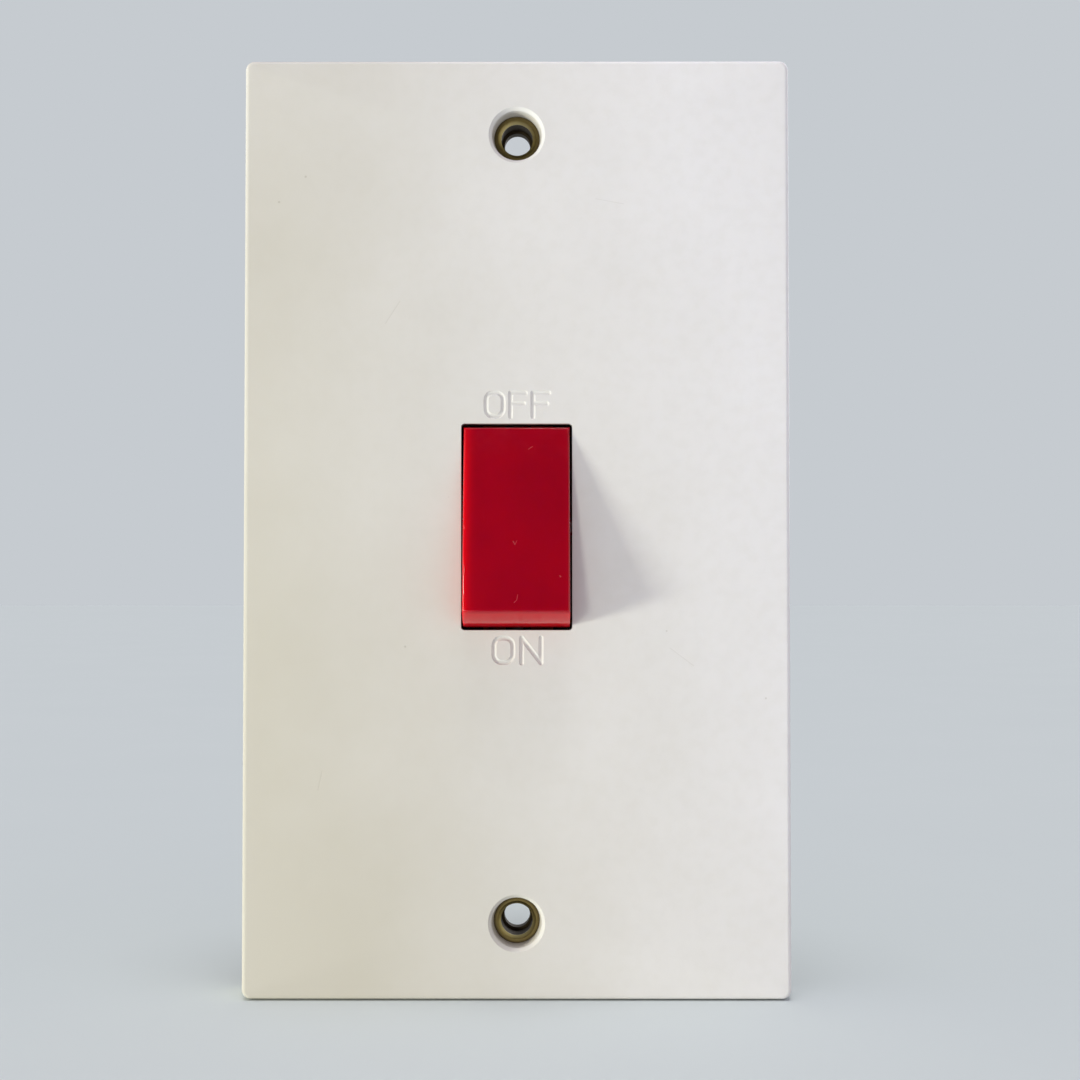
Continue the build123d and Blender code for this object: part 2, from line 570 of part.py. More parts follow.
# Black carrier: a frame that holds the rocker's trunnions and has the fixing lugs
with BuildPart() as carrier:
    with BuildSketch(level(CARRIER_REAR)):
        RectangleRounded(MODULE_WIDTH, MODULE_LENGTH, MODULE_EDGE_RADIUS)
    extrude(amount=CARRIER_DEPTH)
    with BuildSketch(level(CARRIER_REAR)):
        with Locations(*LUG_PLACES):
            Circle(LUG_RADIUS)
        for end in BOTH_ENDS:
            with Locations((0, end * LUG_Z)):
                Rectangle(2 * LUG_X, 2 * LUG_RADIUS)
    extrude(amount=LUG_THICKNESS)
    with BuildSketch(level(CARRIER_REAR)):
        Rectangle(WELL_WIDTH, WELL_LENGTH)
    extrude(amount=CARRIER_DEPTH, mode=Mode.SUBTRACT)
    # keeps that hold the strips and their terminals down in the base
    keep_length = STRIP_FRONT - SEAT_GAP - CARRIER_REAR
    tail_z = STRIP_TAIL_START + STRIP_TAIL_WIDTH / 2
    with BuildSketch(level(CARRIER_REAR + keep_length)):
        for side in BOTH_ENDS:
            for end in BOTH_ENDS:
                with Locations((side * (TERMINAL_X - KEEP_INSET), end * tail_z)):
                    Rectangle(KEEP, KEEP)
    extrude(amount=keep_length)
    # bearing slots, open to the front, where the plate closes them
    slot_radius = TRUNNION_RADIUS + RUNNING_FIT
    slot_reach = half_width + TRUNNION_LENGTH + LOOSE_FIT
    with BuildSketch(Plane.YZ):
        with Locations((PIVOT_Y, 0)):
            Circle(slot_radius)
        with Locations(((PIVOT_Y + CARRIER_FRONT) / 2, 0)):
            Rectangle(PIVOT_Y - CARRIER_FRONT, 2 * slot_radius)
    extrude(amount=slot_reach, both=True, mode=Mode.SUBTRACT)
    with BuildSketch(level(CARRIER_REAR)):
        with Locations(*LUG_PLACES):
            Circle(PLATE_SCREW_RADIUS + LOOSE_FIT)
    extrude(amount=CARRIER_DEPTH, mode=Mode.SUBTRACT)
    with BuildSketch(level(CARRIER_FRONT)):
        with Locations(*[(0, end * CARRIER_SCREW_Z) for end in BOTH_ENDS]):
            Circle(CARRIER_SCREW_HEAD_RADIUS + LOOSE_FIT)
    extrude(amount=-(CARRIER_SCREW_HEAD + SEAT_GAP), mode=Mode.SUBTRACT)
    with BuildSketch(level(CARRIER_FRONT)):
        with Locations(*[(0, end * CARRIER_SCREW_Z) for end in BOTH_ENDS]):
            Circle(CARRIER_SCREW_RADIUS + LOOSE_FIT)
    extrude(amount=-CARRIER_DEPTH, mode=Mode.SUBTRACT)
carrier.part.label = "rocker_carrier"
export_step(carrier.part, "parts/rocker_carrier.step")

# Black base: chambers for the poles, pockets for the terminals and wells for their screws
with BuildPart() as base:
    with BuildSketch(level(BASE_REAR)):
        RectangleRounded(MODULE_WIDTH, MODULE_LENGTH, MODULE_EDGE_RADIUS)
    extrude(amount=BASE_REAR - CARRIER_REAR)
    chamfer(base.faces().sort_by(Axis.Y)[-1].edges(), MODULE_CHAMFER)
    chamber_mid = (CHAMBER_INNER_X + CHAMBER_OUTER_X) / 2
    with BuildSketch(level(STRIP_REAR)):
        with Locations((-chamber_mid, 0), (chamber_mid, 0)):
            Rectangle(
                CHAMBER_OUTER_X - CHAMBER_INNER_X, 2 * (STRIP_TAIL_END + LOOSE_FIT)
            )
        # doorways that let the strip tails through to the terminals
        for side in BOTH_ENDS:
            for end in BOTH_ENDS:
                tail_mid = end * (STRIP_TAIL_START + STRIP_TAIL_WIDTH / 2)
                with Locations((side * (chamber_mid + TERMINAL_X) / 2, tail_mid)):
                    Rectangle(TERMINAL_X - chamber_mid, STRIP_TAIL_WIDTH + 2 * LOOSE_FIT)
    extrude(amount=STRIP_REAR - CARRIER_REAR, mode=Mode.SUBTRACT)
    terminal_places = [
        (side * TERMINAL_X, end * TERMINAL_MID_Z) for side in BOTH_ENDS for end in BOTH_ENDS
    ]
    with BuildSketch(level(TERMINAL_REAR + SEAT_GAP)):
        with Locations(*terminal_places):
            Rectangle(TERMINAL_WIDTH + 2 * LOOSE_FIT, TERMINAL_LENGTH + 2 * LOOSE_FIT)
    extrude(amount=TERMINAL_REAR + SEAT_GAP - CARRIER_REAR, mode=Mode.SUBTRACT)
    with BuildSketch(level(BASE_REAR)):
        with Locations(*terminal_places):
            SlotCenterToCenter(
                TERMINAL_SCREW_SPACING, 2 * (TERMINAL_SCREW_RADIUS + DRIVER_GAP), rotation=90
            )
    extrude(amount=BASE_BACK_WALL, mode=Mode.SUBTRACT)
    # cable mouths in the end walls, flared to guide the wire in
    for side in BOTH_ENDS:
        for end in BOTH_ENDS:
            with BuildSketch(Plane.XY.offset(end * TERMINAL_MID_Z)):
                with Locations((side * TERMINAL_X, TUNNEL_Y)):
                    Circle(CABLE_MOUTH_RADIUS)
            extrude(amount=end * (MODULE_LENGTH / 2 - TERMINAL_MID_Z), mode=Mode.SUBTRACT)
    mouths = base.edges().filter_by(GeomType.CIRCLE).filter_by_position(
        Axis.Z, MODULE_LENGTH / 2, MODULE_LENGTH / 2
    ) + base.edges().filter_by(GeomType.CIRCLE).filter_by_position(
        Axis.Z, -MODULE_LENGTH / 2, -MODULE_LENGTH / 2
    )
    chamfer(mouths.filter_by(lambda e: abs(e.radius - CABLE_MOUTH_RADIUS) < 0.01), CABLE_MOUTH_FLARE)
    # stops beside each strip, where the lower end of the arm rests when OFF
    arm_end_y = FULCRUM_Y - ARM_REAR * math.cos(ARM_TILT) + ARM_LENGTH / 2 * math.sin(ARM_TILT)
    arm_end_z = -ARM_LENGTH / 2 * math.cos(ARM_TILT) - ARM_REAR * math.sin(ARM_TILT)
    stop_inner = STRIP_INNER_X - LOOSE_FIT
    stop_outer = STRIP_INNER_X + STRIP_WIDTH + LOOSE_FIT
    with BuildSketch(level(STRIP_REAR)):
        for side in BOTH_ENDS:
            with Locations((side * (CHAMBER_INNER_X + stop_inner) / 2, arm_end_z)):
                Rectangle(stop_inner - CHAMBER_INNER_X, ARM_STOP_WIDTH)
            with Locations((side * (stop_outer + CHAMBER_OUTER_X) / 2, arm_end_z)):
                Rectangle(CHAMBER_OUTER_X - stop_outer, ARM_STOP_WIDTH)
    extrude(amount=STRIP_REAR - arm_end_y - SEAT_GAP)
    with BuildSketch(level(CARRIER_REAR)):
        with Locations(*[(0, end * CARRIER_SCREW_Z) for end in BOTH_ENDS]):
            Circle(CARRIER_SCREW_RADIUS + RUNNING_FIT)
    extrude(
        amount=-(CARRIER_SCREW_LENGTH - CARRIER_DEPTH + CARRIER_SCREW_HEAD + LOOSE_FIT),
        mode=Mode.SUBTRACT,
    )
base.part.label = "switch_base"
export_step(base.part, "parts/switch_base.step")

# Screws that join the carrier to the base, driven from the front
with BuildPart() as carrier_screws:
    for end in BOTH_ENDS:
        with BuildSketch(level(CARRIER_FRONT)):
            with Locations((0, end * CARRIER_SCREW_Z)):
                Circle(CARRIER_SCREW_HEAD_RADIUS)
        extrude(amount=-CARRIER_SCREW_HEAD)
        with BuildSketch(level(CARRIER_FRONT + CARRIER_SCREW_HEAD)):
            with Locations((0, end * CARRIER_SCREW_Z)):
                Circle(CARRIER_SCREW_RADIUS)
        extrude(amount=-CARRIER_SCREW_LENGTH)
        with BuildSketch(level(CARRIER_FRONT)):
            with Locations((0, end * CARRIER_SCREW_Z)):
                Rectangle(3 * CARRIER_SCREW_HEAD_RADIUS, SLOT_WIDTH)
        extrude(amount=-SLOT_DEPTH, mode=Mode.SUBTRACT)
carrier_screws.part.label = "carrier_screws"
export_step(carrier_screws.part, "parts/carrier_screws.step")

# Screws that hold the carrier's lugs to the plate, driven from behind
with BuildPart() as plate_screws:
    for x, z in LUG_PLACES:
        with BuildSketch(level(CARRIER_REAR + PLATE_SCREW_HEAD)):
            with Locations((x, z)):
                Circle(PLATE_SCREW_HEAD_RADIUS)
        extrude(amount=PLATE_SCREW_HEAD)
        with BuildSketch(level(CARRIER_REAR)):
            with Locations((x, z)):
                Circle(PLATE_SCREW_RADIUS)
        extrude(amount=PLATE_SCREW_LENGTH)
        with BuildSketch(level(CARRIER_REAR + PLATE_SCREW_HEAD)):
            with Locations((x, z)):
                Rectangle(3 * PLATE_SCREW_HEAD_RADIUS, SLOT_WIDTH)
        extrude(amount=SLOT_DEPTH, mode=Mode.SUBTRACT)
plate_screws.part.label = "plate_screws"
export_step(plate_screws.part, "parts/plate_screws.step")

# Earth strap: a flat blank that joins both bushes, with a ring under each rolled tail
with BuildPart() as strap:
    with BuildSketch(level(STRAP_REAR)):
        with Locations((-STRAP_X, 0)):
            Rectangle(STRAP_WIDTH, FIXING_CENTRES + STRAP_WIDTH)
        for z in FIXING_HEIGHTS:
            with Locations((-STRAP_X / 2, z)):
                Rectangle(STRAP_X, STRAP_WIDTH)
            with Locations((0, z)):
                Circle(STRAP_RING_RADIUS)
                Circle(BUSH_SHANK_RADIUS + RUNNING_FIT, mode=Mode.SUBTRACT)
    extrude(amount=STRAP_THICKNESS)
    corners = strap.edges().filter_by(Axis.Y).group_by(Axis.X)[0]
    fillet(corners, STRAP_WIDTH / 2)
strap.part.label = "earth_strap"
export_step(strap.part, "parts/earth_strap.step")

# Earth terminal and its screws
earth_rear = STRAP_REAR + EARTH_DEPTH
earth_tunnel_y = STRAP_REAR + EARTH_TUNNEL_OFFSET
with BuildPart() as earth_terminal:
    with BuildSketch(level(STRAP_REAR)):
        with Locations((-STRAP_X, EARTH_Z)):
            Rectangle(EARTH_WIDTH, EARTH_LENGTH)
    extrude(amount=-EARTH_DEPTH)
    chamfer(earth_terminal.edges().filter_by(Axis.Z), TERMINAL_CHAMFER)
    with BuildSketch(Plane.XY.offset(EARTH_Z - EARTH_LENGTH / 2)):
        with Locations((-STRAP_X, earth_tunnel_y)):
            Circle(EARTH_TUNNEL_RADIUS)
    extrude(amount=EARTH_LENGTH, mode=Mode.SUBTRACT)
    with BuildSketch(level(earth_rear)):
        with Locations((-STRAP_X, EARTH_Z)):
            with GridLocations(1, EARTH_SCREW_SPACING, 1, 2):
                Circle(EARTH_SCREW_RADIUS + RUNNING_FIT)
    extrude(amount=earth_rear - earth_tunnel_y, mode=Mode.SUBTRACT)
earth_terminal.part.label = "earth_terminal"
export_step(earth_terminal.part, "parts/earth_terminal.step")

with BuildPart() as earth_screws:
    for step in (-EARTH_SCREW_SPACING / 2, EARTH_SCREW_SPACING / 2):
        with BuildSketch(level(earth_tunnel_y + EARTH_TUNNEL_RADIUS)):
            with Locations((-STRAP_X, EARTH_Z + step)):
                Circle(EARTH_SCREW_RADIUS)
        extrude(amount=-EARTH_SCREW_LENGTH)
        with BuildSketch(level(earth_tunnel_y + EARTH_TUNNEL_RADIUS + EARTH_SCREW_LENGTH)):
            with Locations((-STRAP_X, EARTH_Z + step)):
                Rectangle(3 * EARTH_SCREW_RADIUS, SLOT_WIDTH)
        extrude(amount=SLOT_DEPTH, mode=Mode.SUBTRACT)
earth_screws.part.label = "earth_terminal_screws"
export_step(earth_screws.part, "parts/earth_terminal_screws.step")
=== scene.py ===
"""Cooker control switch: a red rocker in a tall white wall plate, switched OFF.

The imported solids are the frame. This script dresses them: it cuts the words OFF and ON
into the plate, smooths the mouldings, rolls the screws and coils the springs with Geometry
Nodes, and gives every piece its finish. Lengths are in metres, X is right, Y runs into the
wall and Z is up, with the origin in the middle of the plate on the wall plane.
"""

import logging
import math
from collections.abc import Callable, Sequence
from dataclasses import dataclass, field
from enum import Enum

import bmesh
import bpy
from mathutils import Matrix, Vector

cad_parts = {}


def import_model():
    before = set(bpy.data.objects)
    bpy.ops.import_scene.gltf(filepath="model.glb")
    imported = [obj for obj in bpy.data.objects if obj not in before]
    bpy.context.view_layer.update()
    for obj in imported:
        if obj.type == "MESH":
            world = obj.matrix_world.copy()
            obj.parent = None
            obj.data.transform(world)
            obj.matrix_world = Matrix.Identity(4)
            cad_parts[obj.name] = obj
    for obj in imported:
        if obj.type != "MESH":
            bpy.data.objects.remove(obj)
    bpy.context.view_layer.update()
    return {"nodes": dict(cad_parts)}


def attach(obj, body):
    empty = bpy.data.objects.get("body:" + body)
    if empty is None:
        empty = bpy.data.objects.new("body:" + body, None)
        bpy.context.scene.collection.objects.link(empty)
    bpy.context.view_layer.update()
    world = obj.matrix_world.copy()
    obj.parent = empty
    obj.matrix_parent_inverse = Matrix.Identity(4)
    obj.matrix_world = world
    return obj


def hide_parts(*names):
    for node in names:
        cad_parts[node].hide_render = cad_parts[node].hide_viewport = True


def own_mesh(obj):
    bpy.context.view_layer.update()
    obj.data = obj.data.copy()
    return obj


log = logging.getLogger("cooker_switch")

MM = 0.001
FIXED_BODY = "switch_body"
POLES = ("live", "neutral")
FRONT_Y = -8.0 * MM
PLATE_SIZE = (84.0 * MM, 144.0 * MM)
HOLE_HEIGHT = 60.3 * MM
PIVOT_Y = -4.5 * MM
TILT = math.radians(10.5)
MERGE_GAP = 1e-7
SHARP_EDGE = 32.0
BUSH_EDGE = 28.0
SCREW_EDGE = 34.0
ROCKER_EDGE = 40.0
WIRE_EDGE = 60.0
SHANK_DEPTH = 0.34
THREAD_DEPTH = 0.30
WINDOW_LIGHT = (1.0, 1.04, 0.92)


def srgb(red: int, green: int, blue: int) -> tuple[float, float, float, float]:
    """Turns a colour as it is seen on a screen into the linear one that a shader takes.

    Args:
        red: Red from 0 to 255.
        green: Green from 0 to 255.
        blue: Blue from 0 to 255.

    Returns:
        The linear colour with full alpha.
    """
    channels = []
    for value in (red, green, blue):
        part = value / 255
        channels.append(part / 12.92 if part <= 0.04045 else ((part + 0.055) / 1.055) ** 2.4)
    return (channels[0], channels[1], channels[2], 1.0)


class Term:
    """One number on a socket, which Python's own operators turn into Math nodes."""

    def __init__(self, graph: "Graph", socket: bpy.types.NodeSocket) -> None:
        """Keeps the socket and the graph that its maths goes into."""
        self.graph = graph
        self.socket = socket

    def _math(self, operation: str, *values: "Term | float", clamp: bool = False) -> "Term":
        """Adds one Math node.

        Args:
            operation: The node's operation.
            *values: Its inputs in order.
            clamp: Whether the result is held between 0 and 1.

        Returns:
            The node's result.
        """
        node = self.graph.node(
            "ShaderNodeMath", dict(enumerate(values)), operation=operation, use_clamp=clamp
        )
        return Term(self.graph, node.outputs[0])

    def __add__(self, other: "Term | float") -> "Term":
        """self + other"""
        return self._math("ADD", self, other)

    def __radd__(self, other: float) -> "Term":
        """other + self"""
        return self._math("ADD", other, self)

    def __sub__(self, other: "Term | float") -> "Term":
        """self - other"""
        return self._math("SUBTRACT", self, other)

    def __rsub__(self, other: float) -> "Term":
        """other - self"""
        return self._math("SUBTRACT", other, self)

    def __mul__(self, other: "Term | float") -> "Term":
        """self * other"""
        return self._math("MULTIPLY", self, other)

    def __rmul__(self, other: float) -> "Term":
        """other * self"""
        return self._math("MULTIPLY", other, self)

    def __truediv__(self, other: "Term | float") -> "Term":
        """self / other"""
        return self._math("DIVIDE", self, other)

    def __abs__(self) -> "Term":
        """The size of self without its sign."""
        return self._math("ABSOLUTE", self)

    def clamped(self) -> "Term":
        """self held between 0 and 1."""
        return self._math("ADD", self, 0.0, clamp=True)

    def at_least(self, other: "Term | float") -> "Term":
        """The larger of self and other."""
        return self._math("MAXIMUM", self, other)

    def root(self) -> "Term":
        """The square root of self."""
        return self._math("SQRT", self)

    def ramp(self, low: float, high: float) -> "Term":
        """A smooth step.

        Args:
            low: Where the result leaves 0. It may be above high, and then the step falls.
            high: Where the result reaches 1.

        Returns:
            0 before low, 1 past high and a smooth rise between.
        """
        node = self.graph.node(
            "ShaderNodeMapRange",
            {"Value": self, "From Min": low, "From Max": high},
            interpolation_type="SMOOTHSTEP",
        )
        return Term(self.graph, node.outputs[0])


Link = Term | bpy.types.NodeSocket | float | int | bool | tuple | bpy.types.ID


@dataclass
class Graph:
    """A node tree under construction, for shading or for geometry.

    Attributes:
        tree: The tree that gets the nodes.
    """

    tree: bpy.types.NodeTree

    def node(
        self, kind: str, sockets: dict[str | int, Link] | None = None, **settings: object
    ) -> bpy.types.Node:
        """Adds a node.

        Args:
            kind: The node's type.
            sockets: A value or a link for each socket, by name or by place.
            **settings: Its properties, which are set before its sockets.

        Returns:
            The node.
        """
        made = self.tree.nodes.new(kind)
        for name, value in settings.items():
            setattr(made, name, value)
        for key, value in (sockets or {}).items():
            if isinstance(value, Term):
                value = value.socket
            if isinstance(value, bpy.types.NodeSocket):
                self.tree.links.new(value, made.inputs[key])
            else:
                made.inputs[key].default_value = value
        return made

    def swept(self, path: Link, sides: int, radius: Link) -> bpy.types.NodeSocket:
        """Sweeps a round section along a curve.

        Args:
            path: The curve.
            sides: How many sides the section has.
            radius: The radius of the section.

        Returns:
            The closed tube.
        """
        section = self.node(
            "GeometryNodeCurvePrimitiveCircle", {"Resolution": sides, "Radius": radius}
        )
        tube = self.node(
            "GeometryNodeCurveToMesh",
            {"Curve": path, "Profile Curve": section.outputs[0], "Fill Caps": True},
        )
        return tube.outputs[0]

    def helix(self, steps: int, turns: Link, radius: Link, height: Link) -> bpy.types.NodeSocket:
        """Draws a helix that stands on the origin.

        Args:
            steps: How many points each turn has.
            turns: How many turns it has.
            radius: Its radius.
            height: Its height.

        Returns:
            The curve.
        """
        made = self.node(
            "GeometryNodeCurveSpiral",
            {
                "Resolution": steps,
                "Rotations": turns,
                "Start Radius": radius,
                "End Radius": radius,
                "Height": height,
            },
        )
        return made.outputs[0]

    def joined(self, *parts: bpy.types.NodeSocket) -> bpy.types.NodeSocket:
        """Joins several geometries.

        Args:
            *parts: The geometries.

        Returns:
            All of them in one.
        """
        whole = self.node("GeometryNodeJoinGeometry")
        for part in parts:
            self.tree.links.new(part, whole.inputs[0])
        return whole.outputs[0]


class Surface(Graph):
    """The shader of one finish, with the patterns that the finishes share."""

    def __init__(self, name: str) -> None:
        """Starts an empty material.

        Args:
            name: The material's name.
        """
        self.material = bpy.data.materials.new(name)
        self.material.use_nodes = True
        super().__init__(self.material.node_tree)
        self.tree.nodes.clear()
        self.place = self.node("ShaderNodeTexCoord").outputs["Object"]
        axes = self.node("ShaderNodeSeparateXYZ", {0: self.place})
        self.x, self.y, self.z = (Term(self, axis) for axis in axes.outputs)

    def from_hole(self, height: float) -> Term:
        """The distance, seen square on, from the nearer of two holes above and below."""
        across = abs(self.z) - height
        return (self.x * self.x + across * across).root()

    def noise(
        self,
        size: float,
        detail: float = 3.0,
        roughness: float = 0.55,
        along: tuple[float, float, float] = (1.0, 1.0, 1.0),
    ) -> Term:
        """Cloudy noise from 0 to 1.

        Args:
            size: The size of its blotches in metres.
            detail: How many finer layers it has.
            roughness: How strong the finer layers are.
            along: How much the place is stretched along each axis first.

        Returns:
            The noise.
        """
        place = self.node("ShaderNodeMapping", {"Vector": self.place, "Scale": along})
        made = self.node(
            "ShaderNodeTexNoise",
            {
                "Vector": place.outputs[0],
                "Scale": 1.0 / size,
                "Detail": detail,
                "Roughness": roughness,
            },
        )
        return Term(self, made.outputs[0])

    def specks(self, spacing: float, radius: float) -> Term:
        """Small round specks, 1 at their middles and 0 between them.

        Args:
            spacing: About how far apart they are, in metres.
            radius: Their radius as a share of the spacing.

        Returns:
            The mask of the specks.
        """
        made = self.node("ShaderNodeTexVoronoi", {"Vector": self.place, "Scale": 1.0 / spacing})
        return Term(self, made.outputs["Distance"]).ramp(radius, radius * 0.4)

    def blend(self, factor: Term, first: Link, second: Link) -> bpy.types.NodeSocket:
        """Mixes two colours.

        Args:
            factor: 0 for the first colour and 1 for the second.
            first: The first colour.
            second: The second colour.

        Returns:
            The mixed colour.
        """
        made = self.node(
            "ShaderNodeMix", {0: factor, 6: first, 7: second}, data_type="RGBA", clamp_factor=True
        )
        return made.outputs[2]

    def bump(self, height: Term, depth: float, under: Link | None = None) -> bpy.types.NodeSocket:
        """Turns a height into a normal.

        Args:
            height: The height, from 0 to 1.
            depth: What a height of 1 stands for, in metres.
            under: A normal to add it to.

        Returns:
            The normal.
        """
        sockets: dict[str | int, Link] = {"Height": height, "Distance": depth, "Strength": 1.0}
        if under is not None:
            sockets["Normal"] = under
        return self.node("ShaderNodeBump", sockets).outputs[0]

    def finish(self, **sockets: Link) -> bpy.types.Material:
        """Ends the shader in one Principled BSDF.

        Args:
            **sockets: Its inputs, with an underscore for each space.

        Returns:
            The material.
        """
        named = {key.replace("_", " "): value for key, value in sockets.items()}
        shader = self.node("ShaderNodeBsdfPrincipled", named)
        self.node("ShaderNodeOutputMaterial", {0: shader.outputs[0]})
        return self.material


@dataclass(frozen=True)
class Mark:
    """A scratch or nick: a short line on the front, seen square on.

    Attributes:
        start: Its first end as X and Z in metres.
        end: Its other end.
        width: Half its width in metres.
    """

    start: tuple[float, float]
    end: tuple[float, float]
    width: float

    def mask(self, surface: Surface) -> Term:
        """1 on the mark and 0 away from it.

        Args:
            surface: The surface that has the mark.

        Returns:
            The mask.
        """
        run_x, run_z = self.end[0] - self.start[0], self.end[1] - self.start[1]
        length = run_x * run_x + run_z * run_z
        off_x = surface.x - self.start[0]
        off_z = surface.z - self.start[1]
        along = ((off_x * run_x + off_z * run_z) / length).clamped()
        gap_x = off_x - along * run_x
        gap_z = off_z - along * run_z
        away = (gap_x * gap_x + gap_z * gap_z).root()
        return away.ramp(self.width, self.width * 0.35)


def all_marks(surface: Surface, marks: Sequence[Mark]) -> Term:
    """Joins several marks on one surface.

    Args:
        surface: The surface that they are on.
        marks: The marks.

    Returns:
        1 on a mark and 0 elsewhere.
    """
    mask = marks[0].mask(surface)
    for mark in marks[1:]:
        mask = mask.at_least(mark.mask(surface))
    return mask


@dataclass(frozen=True)
class MouldedWhite:
    """Smooth white moulding, with painted shade that makes it darker and yellower towards its left
    and lower side.

    Attributes:
        light_side_white: The colour of its lighter right and upper side.
        shaded_yellow: The darker, yellower colour of the painted shade on the left and lower side,
            which the random mottle also takes.
        grime_and_shade: What has settled in the specks and the scuffs, and the painted shade in
            the mouths of the fixing holes.
        lean: How strong the painted shade is in the middle of the plate, from 0 to 1, and how much
            that rises from its right side to its left one, and from its top to its foot.
        hole_radius: The radius of the mouths of the fixing holes.
        marks: The faint scuffs on the face.
    """

    light_side_white: tuple[float, ...] = srgb(238, 235, 235)
    shaded_yellow: tuple[float, ...] = srgb(198, 192, 178)
    grime_and_shade: tuple[float, ...] = srgb(150, 140, 122)
    lean: tuple[float, float, float] = (0.48, 0.95, 0.45)
    hole_radius: float = 4.35 * MM
    marks: tuple[Mark, ...] = (
        Mark((-20.1 * MM, 31.2 * MM), (-17.9 * MM, 34.6 * MM), 0.10 * MM),
        Mark((23.4 * MM, -18.5 * MM), (27.0 * MM, -21.2 * MM), 0.08 * MM),
        Mark((-30.2 * MM, -40.1 * MM), (-29.6 * MM, -37.2 * MM), 0.09 * MM),
        Mark((12.1 * MM, 50.4 * MM), (16.4 * MM, 49.6 * MM), 0.07 * MM),
    )

    def material(self) -> bpy.types.Material:
        """Builds the finish.

        Returns:
            The material.
        """
        surface = Surface("white_moulding")
        cloud = surface.noise(34 * MM, 4.0)
        # Painted shade: darker and yellower towards the left and the foot, in cloudy patches.
        middle, across, down = self.lean
        lean = middle - surface.x * (across / PLATE_SIZE[0]) - surface.z * (down / PLATE_SIZE[1])
        shaded_yellow = (lean + (cloud - 0.5) * 0.45).clamped()
        body = surface.blend(shaded_yellow, self.light_side_white, self.shaded_yellow)
        mottle = surface.noise(1.9 * MM, 3.0).ramp(0.35, 0.75)
        body = surface.blend(mottle * 0.08, body, self.shaded_yellow)
        specks = surface.specks(11.0 * MM, 0.022)
        scuffs = all_marks(surface, self.marks)
        # Painted shade in the mouths of the fixing holes, joined with the real specks and scuffs.
        recess_shade = surface.from_hole(HOLE_HEIGHT).ramp(self.hole_radius, 0.85 * self.hole_radius)
        recess_shade = recess_shade * surface.y.ramp(FRONT_Y, FRONT_Y + 1.6 * MM)
        dirt_and_shade = (specks * 0.35).at_least(scuffs * 0.14).at_least(recess_shade * 0.45)
        body = surface.blend(dirt_and_shade, body, self.grime_and_shade)
        peel = surface.noise(1.1 * MM, 2.0)
        grain = surface.noise(0.16 * MM, 2.0)
        wear = surface.noise(11 * MM, 5.0, along=(1.0, 1.0, 0.35))
        roughness = 0.33 + wear.ramp(0.4, 0.7) * 0.12 + grain * 0.05 + scuffs * 0.12
        normal = surface.bump(peel, 0.004 * MM)
        normal = surface.bump(grain, 0.0012 * MM, normal)
        normal = surface.bump(1.0 - scuffs, 0.012 * MM, normal)
        return surface.finish(
            Base_Color=body,
            Roughness=roughness,
            Normal=normal,
            IOR=1.5,
            Subsurface_Weight=0.08,
            Subsurface_Radius=(1.0, 0.85, 0.6),
            Subsurface_Scale=0.6 * MM,
        )


